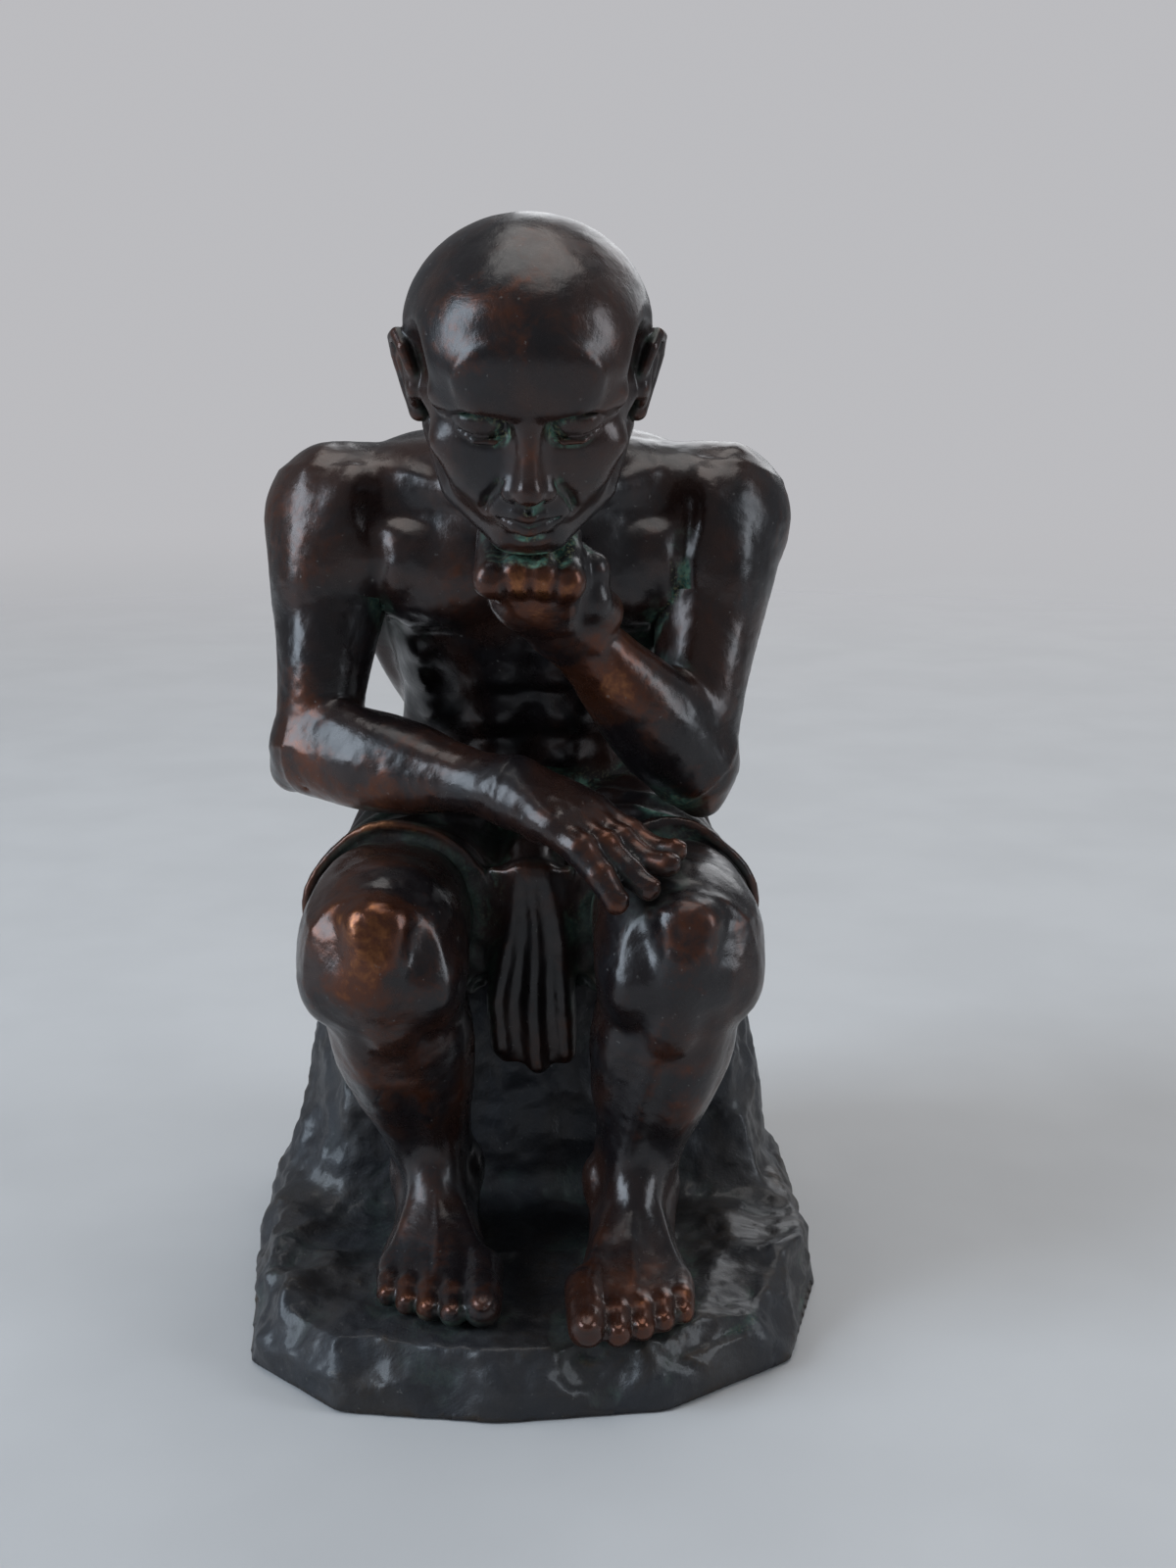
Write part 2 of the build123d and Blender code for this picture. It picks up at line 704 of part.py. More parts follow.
def face_details():
    """Nose, brows, lids, lips and ears as small rounded masses."""
    bead = head_width * bead_share
    nose = capsule(on_head(0, 0.425, 0.06), on_head(0, 0.47, -0.17), bead, bead * 1.5)
    details = [nose]
    for start, end, start_girth, end_girth in face_shares:
        for side in (1, -1):
            near = on_head(side * start[0], start[1], start[2])
            far = on_head(side * end[0], end[1], end[2])
            details.append(capsule(near, far, bead * start_girth, bead * end_girth))
    return details


def make_head():
    sections = []
    for height, centre, wide, front, back in skull_shares:
        place = Plane(origin=on_head(0, centre, height), x_dir=head_plane.x_dir, z_dir=head_plane.z_dir)
        sections.append(ring(place, head_width * wide, head_depth * front, head_depth * back))
    head = loft(sections) + [limb(neck_root, nape, neck_radius, nape_shares), *face_details()]
    return one(head - [neck_dowel_rod(fit_gap), chin_dowel_rod(fit_gap)])


# Arms

left_shoulder = at(shoulder_half_span, shoulder_y, shoulder_z)
right_shoulder = at(-shoulder_half_span, shoulder_y, shoulder_z)


def over_lap(x, y, lap, radius):
    """Height of a ball's centre where it lies on a thigh or a knee of the radius lap."""
    share = min((hip_setback - y) / thigh_length, 1)
    aside = abs(x) - (hip_half_span + (knee_half_span - hip_half_span) * share)
    ahead = min(y - knee_y, 0)
    reach = lap + rest_gap + radius
    return knee_z + sqrt(reach * reach - aside * aside - ahead * ahead)


cloth_top = lap_radius + cloth_fold
left_elbow_z = over_lap(left_elbow_span, left_elbow_setback, cloth_top, elbow_radius)
left_elbow = at(left_elbow_span, left_elbow_setback, left_elbow_z)
chin = on_head(0, 0.28, -0.50)
fist_top = chin - head_plane.z_dir * rest_gap
forearm_bed = knee_z + cloth_top + rest_gap
right_elbow = at(-right_elbow_span, neck_y - wrist_radius, forearm_bed + forearm_radius * 1.04)


def under_chin(left, ahead, down):
    """Point in the fist, measured from the middle of its top along the bowed head's own directions."""
    return fist_top + LEFT * left + head_plane.y_dir * ahead - head_plane.z_dir * down


left_wrist = under_chin(wrist_radius, -wrist_radius * 0.2, palm_length * 1.1)
right_wrist = at(-wrist_radius / 2, knee_y + palm_half_width, right_elbow.Z - finger_radius * 0.8)

# along the limb, half width, depth ahead, depth behind
upper_arm_shares = (
    (arm_seam_share, 1.0, 1.06, 1.02), (0.56, 0.86, 1.0, 0.94),
    (0.80, 0.74, 0.84, 0.80), (1.0, 0.70, 0.72, 0.74),
)
elbow_shares = ((0, 0.88, 0.90, 0.90), (0.12, 0.98, 0.97, 0.97), (elbow_seam_share, 1.02, 1.0, 1.0))
forearm_shares = (
    (elbow_seam_share, 1.02, 1.0, 1.0), (0.5, 0.92, 0.90, 0.90),
    (0.8, 0.72, 0.70, 0.70), (1.0, 0.68, 0.66, 0.66),
)
# along the hand, half width, half depth
fist_shares = ((0, 0.66, 1.06), (0.3, 0.86, 1.18), (0.75, 1.0, 1.2), (1.0, 0.86, 0.94))
palm_shares = ((0, 0.66, 1.04), (0.35, 0.84, 1.0), (0.8, 0.96, 0.76), (1.0, 0.90, 0.52))


def palm(wrist, knuckles, rows, hint):
    sections = []
    for place, wide, deep in rows:
        plane = across(wrist, knuckles, place, hint)
        half_depth = palm_half_depth * deep
        sections.append(ring(plane, palm_half_width * wide, half_depth, half_depth))
    return loft(sections)


def make_upper_arm(shoulder, elbow, wrist):
    """From the seam below the shoulder to the seam just past the elbow."""
    arm = limb(shoulder, elbow, upper_arm_radius, upper_arm_shares)
    arm += [ball(elbow, elbow_radius), limb(elbow, wrist, forearm_radius, elbow_shares)]
    trunk_room = torso_loft(rest_gap, torso_shares[2:7])
    upper_hole = arm_dowel_rod(shoulder, elbow, arm_seam_share, fit_gap)
    lower_hole = arm_dowel_rod(elbow, wrist, elbow_seam_share, fit_gap)
    return one(arm - [trunk_room, *trunk_forms(rest_gap), upper_hole, lower_hole])


def make_left_forearm():
    """Forearm whose fist holds up the chin."""
    knuckles = under_chin(0, palm_half_depth * 0.2, finger_radius * 1.4)
    solids = [ball(left_wrist, wrist_radius), palm(left_wrist, knuckles, fist_shares, BACK)]
    pitch = 2 * palm_half_width * 0.84 / fingers
    for k in range(fingers):
        x = (k - (fingers - 1) / 2) * pitch
        root = under_chin(x, palm_half_depth * 1.0, finger_radius * 1.3)
        bend = under_chin(x, -palm_half_depth * 0.9, finger_radius * 1.2)
        tip = under_chin(x, -palm_half_depth * 0.9, finger_radius + finger_length * 0.5)
        solids.append(capsule(root, bend, finger_radius, finger_radius * 0.96))
        solids.append(capsule(bend, tip, finger_radius * 0.96, finger_radius * 0.86))
    thumb_root = between(left_wrist, knuckles, 0.3) + LEFT * palm_half_width * 0.8
    thumb_tip = under_chin(palm_half_width * 0.98, -palm_half_depth * 0.4, thumb_radius * 1.6)
    solids.append(capsule(thumb_root, thumb_tip, thumb_radius, thumb_radius * 0.84))
    arm = limb(left_elbow, left_wrist, forearm_radius, forearm_shares) + solids
    crook = limb(left_shoulder, left_elbow, upper_arm_radius + rest_gap, upper_arm_shares)
    elbow_hole = arm_dowel_rod(left_elbow, left_wrist, elbow_seam_share, fit_gap)
    return one(arm - [crook, chin_dowel_rod(fit_gap), elbow_hole])


def make_right_forearm():
    """Forearm that lies across the lap, its hand over the other knee."""
    aim = at(right_wrist.X - right_elbow.X, right_wrist.Y - right_elbow.Y, 0).normalized()
    aside = aim.cross(UP)
    knuckles = right_wrist + aim * palm_length - UP * finger_radius
    solids = [ball(right_wrist, wrist_radius), palm(right_wrist, knuckles, palm_shares, UP)]
    pitch = 2 * palm_half_width * 0.84 / fingers
    for k in range(fingers):
        root = knuckles + aside * ((k - (fingers - 1) / 2) * pitch) - aim * finger_radius * 1.6
        middle = on_knee(root + aim * finger_length * 0.5)
        tip = on_knee(root + aim * finger_length * (1 - 0.08 * abs(k - 1)))
        solids.append(capsule(root, middle, finger_radius, finger_radius * 0.95))
        solids.append(capsule(middle, tip, finger_radius * 0.95, finger_radius * 0.84))
    thumb_root = between(right_wrist, knuckles, 0.25) - aside * palm_half_width * 0.55
    thumb_reach = aim * palm_length * 0.72 - aside * palm_half_width * 0.34
    thumb_tip = thumb_root + thumb_reach - UP * finger_radius * 0.5
    solids.append(capsule(thumb_root, thumb_tip, thumb_radius, thumb_radius * 0.8))
    arm = limb(right_elbow, right_wrist, forearm_radius, forearm_shares) + solids
    return one(arm - arm_dowel_rod(right_elbow, right_wrist, elbow_seam_share, fit_gap))


def on_knee(place):
    """The same place, lowered or lifted so that a finger there lies on the left knee."""
    beside = max(knee_half_span - place.X, 0)
    x = knee_half_span - min(beside, knee_radius * 0.8)
    return at(place.X, place.Y, over_lap(x, place.Y, knee_radius, finger_radius))


# Fixings

rock_seat_back = rock_seat_shares[7][1] * plinth_depth / 2
bolt_y = min(hip_setback, rock_seat_back - rock_wall - washer_radius - washer_gap)


def neck_dowel_rod(grow):
    return pin(neck_root, nape, neck_seam_share, dowel_radius + grow, dowel_grip + grow)


def arm_dowel_rod(start, end, share, grow):
    return pin(start, end, share, dowel_radius + grow, dowel_grip + grow)


def chin_dowel_rod(grow):
    return pin(fist_top, chin, 0.5, chin_dowel_radius + grow, dowel_grip * 0.8 + grow)


def hem_dowel_rod(side):
    hem = hem_place(side)
    return rod(hem - BACK * dowel_grip, hem + BACK * dowel_grip, dowel_radius)


def screw_head(x, y, grow):
    """Countersunk head of a plate screw, or its seat in the plate."""
    return Pos(x, y, felt_thickness) * Cone(
        screw_head_radius + grow, screw_radius + grow, plate_thickness * 0.7,
        align=(Align.CENTER, Align.CENTER, Align.MIN))


def make_base_plate():
    outline = slab_outline(plinth_outline_shares, felt_thickness, rim_width + plate_gap)
    sheet = extrude(outline, plate_thickness)
    for x, y in boss_places():
        sheet -= rod(at(x, y, 0), at(x, y, plate_top + overrun), screw_radius + fit_gap)
        sheet -= screw_head(x, y, fit_gap)
    return sheet


def make_screws():
    screws = []
    for x, y in boss_places():
        shank = rod(at(x, y, felt_thickness), at(x, y, felt_thickness + screw_length), screw_radius)
        screws.append(shank + screw_head(x, y, 0))
    return screws


def make_felt_pad():
    return extrude(slab_outline(plinth_outline_shares, 0, rim_width + plate_gap), felt_thickness)


def make_centre_bolt():
    seat = seat_z - rock_wall - washer_thickness
    place = Plane(origin=(0, bolt_y, seat - bolt_head_height))
    head = extrude(place * RegularPolygon(bolt_head_radius, 6), bolt_head_height)
    return head + rod(at(0, bolt_y, seat), at(0, bolt_y, waist_z + bolt_grip), bolt_radius)


def make_centre_washer():
    foot = at(0, bolt_y, seat_z - rock_wall - washer_thickness)
    top = foot + UP * washer_thickness
    return rod(foot, top, washer_radius) - rod(foot, top, bolt_radius + bolt_bore_gap)


def make_foot_studs():
    foot = recess_top - nut_height
    return [rod(at(p.X, p.Y, foot), at(p.X, p.Y, sole_z + stud_grip), stud_radius) for p in stud_places]


def make_foot_nuts():
    nuts = []
    for p in stud_places:
        place = Plane(origin=(p.X, p.Y, recess_top - nut_height))
        blank = extrude(place * RegularPolygon(nut_radius, 6), nut_height)
        nuts.append(blank - rod(at(p.X, p.Y, 0), at(p.X, p.Y, sole_z), stud_radius + fit_gap))
    return nuts


def write(name, shapes):
    """One STEP file for a named piece, or for a group of identical ones."""
    solids = []
    for shape in shapes if isinstance(shapes, list) else [shapes]:
        solids += shape.solids()
    whole = solids[0] if len(solids) == 1 else Compound(children=solids)
    whole.label = name
    export_step(whole, f"parts/{name}.step")


def main():
    os.makedirs("parts", exist_ok=True)
    outer_rock = rock_outer()
    pieces = {
        "rock_base": make_rock_base(outer_rock),
        "rock_core_plugs": make_core_plugs(outer_rock),
        "skirt": make_skirt(),
        "torso": make_torso(),
        "head": make_head(),
        "left_upper_arm": make_upper_arm(left_shoulder, left_elbow, left_wrist),
        "left_forearm": make_left_forearm(),
        "right_upper_arm": make_upper_arm(right_shoulder, right_elbow, right_wrist),
        "right_forearm": make_right_forearm(),
        "left_leg": make_leg(left_knee, left_ankle, 1),
        "right_leg": make_leg(right_knee, right_ankle, -1),
        "base_plate": make_base_plate(),
        "base_plate_screws": make_screws(),
        "felt_pad": make_felt_pad(),
        "centre_bolt": make_centre_bolt(),
        "centre_washer": make_centre_washer(),
        "foot_studs": make_foot_studs(),
        "foot_nuts": make_foot_nuts(),
        "neck_dowel": neck_dowel_rod(0),
        "chin_dowel": chin_dowel_rod(0),
        "left_shoulder_dowel": arm_dowel_rod(left_shoulder, left_elbow, arm_seam_share, 0),
        "right_shoulder_dowel": arm_dowel_rod(right_shoulder, right_elbow, arm_seam_share, 0),
        "left_elbow_dowel": arm_dowel_rod(left_elbow, left_wrist, elbow_seam_share, 0),
        "right_elbow_dowel": arm_dowel_rod(right_elbow, right_wrist, elbow_seam_share, 0),
        "left_hem_dowel": hem_dowel_rod(1),
        "right_hem_dowel": hem_dowel_rod(-1),
    }
    for name, shapes in pieces.items():
        write(name, shapes)


main()
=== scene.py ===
import json
import math

import bpy
import numpy as np
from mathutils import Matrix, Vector


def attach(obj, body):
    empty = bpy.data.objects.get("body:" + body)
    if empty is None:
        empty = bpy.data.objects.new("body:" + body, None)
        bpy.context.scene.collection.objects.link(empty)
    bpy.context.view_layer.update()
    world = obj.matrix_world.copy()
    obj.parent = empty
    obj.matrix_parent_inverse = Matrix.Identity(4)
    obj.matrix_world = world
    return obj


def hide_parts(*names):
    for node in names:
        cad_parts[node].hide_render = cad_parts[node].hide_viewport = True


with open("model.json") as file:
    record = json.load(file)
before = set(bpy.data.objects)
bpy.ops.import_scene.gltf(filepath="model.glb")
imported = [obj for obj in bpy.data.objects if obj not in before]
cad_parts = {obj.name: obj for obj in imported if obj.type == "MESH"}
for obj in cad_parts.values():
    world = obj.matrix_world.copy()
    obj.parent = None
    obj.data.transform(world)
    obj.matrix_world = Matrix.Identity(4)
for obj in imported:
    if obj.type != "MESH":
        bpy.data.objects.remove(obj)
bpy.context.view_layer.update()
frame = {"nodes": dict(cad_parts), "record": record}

# The figure is sculpted as distance fields, in millimetres, in the frame of the CAD model:
# +X the figure's left, -Y its front, +Z up. Each field is then meshed and split at the casting's seams.
MM = 0.001
FAR = 1000.0
MARGIN = 2.5
BODY_STEP = 0.38
FINE_STEP = 0.27
ROCK_STEP = 0.55
WHOLE_STEP = 0.8
FRONT = (0.0, -1.0, 0.0)
UP = (0.0, 0.0, 1.0)

# ---------------------------------------------------------------- places of the skeleton: 1 left, -1 right

KNEE = {1: (17.0, -19.0, 46.5), -1: (-17.0, -19.0, 46.5)}
ANKLE = {1: (11.5, -15.0, 16.0), -1: (-11.5, -10.0, 16.0)}
SHOULDER = {1: (23.2, 11.24, 92.0), -1: (-23.2, 11.24, 92.0)}
ELBOW = {1: (19.5, 1.0, 62.9), -1: (-26.0, 3.8, 64.55)}
WRIST = {1: (4.2, -8.4, 81.7), -1: (-2.1, -12.6, 63.0)}
NECK_ROOT = (0.0, 11.76, 93.42)
NAPE = (0.0, -9.22, 107.92)
HEAD = np.array((0.0, -15.0, 110.0))
HEAD_AHEAD = np.array((0.0, -0.883, -0.469))
HEAD_UP = np.array((0.0, -0.469, 0.883))
FIST_TOP = np.array((0.0, -14.52, 91.51))
SOLE = 8.0
HEM_X, HEM_Y = 15.4, -7.0
SEAT_Z = 37.0
LAP_Z = 46.5
LAP_RADIUS = 10.8


# ---------------------------------------------------------------- forms: low corner, high corner, distance

def unit(v):
    v = np.asarray(v, float)
    return v / np.linalg.norm(v)


def axes_of(along, hint):
    """Side, front and along: front is the part of hint that is square to along."""
    w = unit(along)
    v = np.asarray(hint, float)
    v = unit(v - w * (v @ w))
    return np.cross(v, w), v, w


def between(a, b, share):
    a, b = np.asarray(a, float), np.asarray(b, float)
    return a + (b - a) * share


def dotted(x, y, z, origin, axis):
    return ((x - origin[0]) * axis[0] + (y - origin[1]) * axis[1]) + (z - origin[2]) * axis[2]


def egg(centre, side, front, length, along=UP, hint=FRONT):
    """Ellipsoid with these three radii."""
    axes, radii = axes_of(along, hint), (side, front, length)
    reach = np.sqrt(sum((a * r) ** 2 for a, r in zip(axes, radii)))

    def distance(x, y, z):
        k0 = k1 = 0.0
        for a, r in zip(axes, radii):
            q = dotted(x, y, z, centre, a) ** 2
            k0 = k0 + q * (1 / r ** 2)
            k1 = k1 + q * (1 / r ** 4)
        k0 = np.sqrt(k0)
        return k0 * (k0 - 1) / np.sqrt(np.maximum(k1, 1e-9))
    centre = np.asarray(centre, float)
    return centre - reach, centre + reach, distance


def muscle(a, b, wide, deep, hint=FRONT):
    """Spindle from a to b, whose tips stand a little past them."""
    a, b = np.asarray(a, float), np.asarray(b, float)
    return egg((a + b) / 2, wide, deep, np.linalg.norm(b - a) / 2 * 1.12, b - a, hint)


def rod(a, b, ra, rb=None):
    """Capsule whose radius changes from a to b."""
    a, b = np.asarray(a, float), np.asarray(b, float)
    rb = ra if rb is None else rb
    ab = b - a
    inverse = 1 / max(ab @ ab, 1e-9)
    top = max(ra, rb)

    def distance(x, y, z):
        t = np.clip(dotted(x, y, z, a, ab * inverse), 0, 1)
        dx, dy, dz = x - a[0] - ab[0] * t, y - a[1] - ab[1] * t, z - a[2] - ab[2] * t
        return np.sqrt(dx * dx + dy * dy + dz * dz) - (ra + (rb - ra) * t)
    return np.minimum(a, b) - top, np.maximum(a, b) + top, distance


def smooth_table(places, values, count=80):
    """Values at evenly spread places, on a smooth curve through the rows."""
    t = np.linspace(places[0], places[-1], count)
    slopes = np.gradient(values, places)
    k = np.clip(np.searchsorted(places, t, side="right") - 1, 0, len(places) - 2)
    width = places[k + 1] - places[k]
    s = (t - places[k]) / width
    rise = (2 * s ** 3 - 3 * s ** 2 + 1) * values[k] + (s ** 3 - 2 * s ** 2 + s) * width * slopes[k]
    return t, rise + (3 * s ** 2 - 2 * s ** 3) * values[k + 1] + (s ** 3 - s ** 2) * width * slopes[k + 1]


def oval(u, v, wide, ahead, behind, power):
    """Distance to an oval section, deeper ahead or behind, squarer with a higher power."""
    deep = np.where(v > 0, ahead, behind)
    a, b = np.abs(u) / wide, np.abs(v) / deep
    k0 = np.maximum((a ** power + b ** power) ** (1 / power), 1e-4)
    steep = np.sqrt(((a / k0) ** (power - 1) / wide) ** 2 + ((b / k0) ** (power - 1) / deep) ** 2)
    return (k0 - 1) / steep


def limb(a, b, radius, rows, hint=FRONT, power=2.0):
    """Oval sections along a bone. Rows: share, half width, depth to the hint's side, depth behind."""
    a, b = np.asarray(a, float), np.asarray(b, float)
    u_axis, v_axis, w_axis = axes_of(b - a, hint)
    length = np.linalg.norm(b - a)
    rows = np.array(rows, float)
    tables = [smooth_table(rows[:, 0], rows[:, k] * radius) for k in (1, 2, 3)]
    top = rows[:, 1:].max() * radius

    def distance(x, y, z):
        s = dotted(x, y, z, a, w_axis) / length
        wide, ahead, behind = (np.interp(s, *t) for t in tables)
        side = oval(dotted(x, y, z, a, u_axis), dotted(x, y, z, a, v_axis), wide, ahead, behind, power)
        return np.maximum(side, np.maximum(rows[0, 0] - s, s - rows[-1, 0]) * length)
    ends = [between(a, b, rows[k, 0]) for k in (0, -1)]
    return np.minimum(*ends) - top, np.maximum(*ends) + top, distance


def column(rows, power=2.0):
    """Stack of level oval sections. Rows: height, centre y, half width, depth ahead, depth behind."""
    rows = np.array(rows, float)
    tables = [smooth_table(rows[:, 0], rows[:, k]) for k in (1, 2, 3, 4)]
    top = rows[:, 2:].max()

    def distance(x, y, z):
        middle, wide, ahead, behind = (np.interp(z, *t) for t in tables)
        side = oval(x, middle - y, wide, ahead, behind, power) * 0.96
        return np.maximum(side, np.maximum(rows[0, 0] - z, z - rows[-1, 0]))
    low = np.array((-top, rows[:, 1].min() - top, rows[0, 0]))
    return low, np.array((top, rows[:, 1].max() + top, rows[-1, 0])), distance


def stack(levels):
    """Convex block from outlines at rising heights, each with as many corners."""
    heights = np.array([z for z, _ in levels], float)
    outlines = np.array([points for _, points in levels], float)
    top = np.abs(outlines).max()

    def distance(x, y, z):
        out = np.full(np.broadcast(x, y, z).shape, FAR, np.float32)
        for k, height in enumerate(z.ravel()):
            here = np.array([np.interp(height, heights, outlines[:, n, c])
                             for n in range(outlines.shape[1]) for c in (0, 1)]).reshape(-1, 2)
            along = np.roll(here, -1, 0) - here
            normal = np.stack((along[:, 1], -along[:, 0]), 1)
            normal /= np.linalg.norm(normal, axis=1)[:, None]
            worst = -FAR
            for n, q in zip(normal, here):
                worst = np.maximum(worst, (x[:, :, 0] - q[0]) * n[0] + (y[:, :, 0] - q[1]) * n[1])
            out[:, :, k] = np.maximum(worst, max(heights[0] - height, height - heights[-1]))
        return out
    return np.array((-top, -top, heights[0])), np.array((top, top, heights[-1])), distance


# ---------------------------------------------------------------- clay: a block of samples that holds a field

CORNERS = np.array([(i, j, k) for i in (0, 1) for j in (0, 1) for k in (0, 1)])
EDGES = [(a, b) for a in range(8) for b in range(a + 1, 8) if np.abs(CORNERS[a] - CORNERS[b]).sum() == 1]


def corner_shares(f):
    """Each corner of a cell, with its share in points that lie f into their cells."""
    sides = 1 - f, f
    for corner in CORNERS:
        u, v, w = (sides[c][:, k] for k, c in enumerate(corner))
        yield corner, u * v * w


def joined(a, b, blend):
    """Two fields in one, with a fillet where they meet."""
    if blend == 0:
        return np.minimum(a, b)
    h = np.maximum(blend - np.abs(a - b), 0) / blend
    return np.minimum(a, b) - h * h * (blend / 4)


class Clay:
    def __init__(self, low, high, step):
        self.step = step
        first = np.floor(np.array(low) / step).astype(int)
        count = np.ceil(np.array(high) / step).astype(int) - first + 1
        self.low = first * step
        self.axes = [(self.low[k] + np.arange(count[k]) * step).astype(np.float32) for k in range(3)]
        self.field = np.full(count, FAR, np.float32)

    def grid(self):
        x, y, z = self.axes
        return x[:, None, None], y[None, :, None], z[None, None, :]

    def window(self, low, high, pad):
        """Where in the block a box lies, and the samples' x, y and z there."""
        cuts = []
        for k, axis in enumerate(self.axes):
            start = math.floor((low[k] - pad - self.low[k]) / self.step)
            end = math.ceil((high[k] + pad - self.low[k]) / self.step) + 1
            cuts.append(slice(*(int(np.clip(n, 0, len(axis))) for n in (start, end))))
        x, y, z = self.grid()
        return tuple(cuts), x[cuts[0]], y[:, cuts[1]], z[:, :, cuts[2]]

    def add(self, form, blend=0.0, cut=False):
        low, high, distance = form
        cuts, x, y, z = self.window(low, high, blend + MARGIN)
        old = self.field[cuts]
        if old.size:
            new = distance(x, y, z).astype(np.float32)
            self.field[cuts] = -joined(-old, new, blend) if cut else joined(old, new, blend)

    def cut(self, form, blend):
        self.add(form, blend, cut=True)

    def tube(self, points, radii, blend, cut=False):
        """Rounded line through points, as a ridge or as a groove. It is joined up first and blended in once."""
        radii = [radii] * len(points) if np.isscalar(radii) else radii
        rods = [rod(*ends) for ends in zip(points[:-1], points[1:], radii[:-1], radii[1:])]
        low, high = np.min([r[0] for r in rods], axis=0), np.max([r[1] for r in rods], axis=0)
        pad = blend + MARGIN
        cuts = self.window(low, high, pad)[0]
        line = np.full(self.field[cuts].shape, FAR, np.float32)
        for near, far, distance in rods:
            inner, x, y, z = self.window(near, far, pad)
            place = tuple(slice(i.start - c.start, i.stop - c.start) for i, c in zip(inner, cuts))
            line[place] = np.minimum(line[place], distance(x, y, z))
        self.add((low, high, lambda x, y, z: line), blend, cut)

    def at(self, points):
        """The field at any points, between its samples."""
        q = (points - self.low) / self.step
        shape = np.array(self.field.shape)
        inside = np.all((q >= 0) & (q <= shape - 1.001), axis=1)
        q = np.clip(q, 0, shape - 1.001)
        base = q.astype(np.int32)
        flat = self.field.ravel()
        strides = np.array((shape[1] * shape[2], shape[2], 1))
        index = base @ strides
        out = np.zeros(len(points), np.float32)
        for corner, share in corner_shares((q - base).astype(np.float32)):
            out += share * flat[index + corner @ strides]
        return np.where(inside, out, FAR)

    def slope(self, points):
        g = np.stack([self.at(points + h) - self.at(points - h) for h in np.eye(3) * self.step * 0.7], 1)
        return g / np.maximum(np.linalg.norm(g, axis=1), 1e-6)[:, None]


line = Clay.tube


def work(clay, rows, s=1, bone=None):
    """Works the rows of a table in turn. A row holds a form, its blend, and what the form takes: a line takes its
    radii first. A blend under 0 cuts away. Three numbers are a place or a direction, mirrored for s = -1, and
    four are a share of the bone and a shift from there."""
    def placed(v):
        if np.isscalar(v):
            return v
        shift = np.array((s * v[-3], v[-2], v[-1]), float)
        return shift if len(v) == 3 else between(*bone, v[0]) + shift

    for form, blend, *given in rows:
        if form is line:
            clay.tube([placed(p) for p in given[1:]], given[0], abs(blend), blend < 0)
        else:
            clay.add(form(*map(placed, given)), abs(blend), blend < 0)


# ---------------------------------------------------------------- skin: from clay to meshes

def cells(values):
    """The eight corners of every cell, one array each."""
    nx, ny, nz = values.shape
    return [values[i:nx - 1 + i, j:ny - 1 + j, k:nz - 1 + k] for i, j, k in CORNERS]


def edges_of(quads):
    return np.concatenate([quads[:, [k, (k + 1) % 4]] for k in range(4)])


def spread_sum(count, index, values):
    return np.stack([np.bincount(index, values[:, k], count) for k in range(3)], 1)


def averager(count, edge):
    """A function that gives the mean of each point's neighbours."""
    degree = np.maximum(np.bincount(edge[:, 0], minlength=count), 1)[:, None]
    return lambda points: spread_sum(count, edge[:, 0], points[edge[:, 1]]) / degree


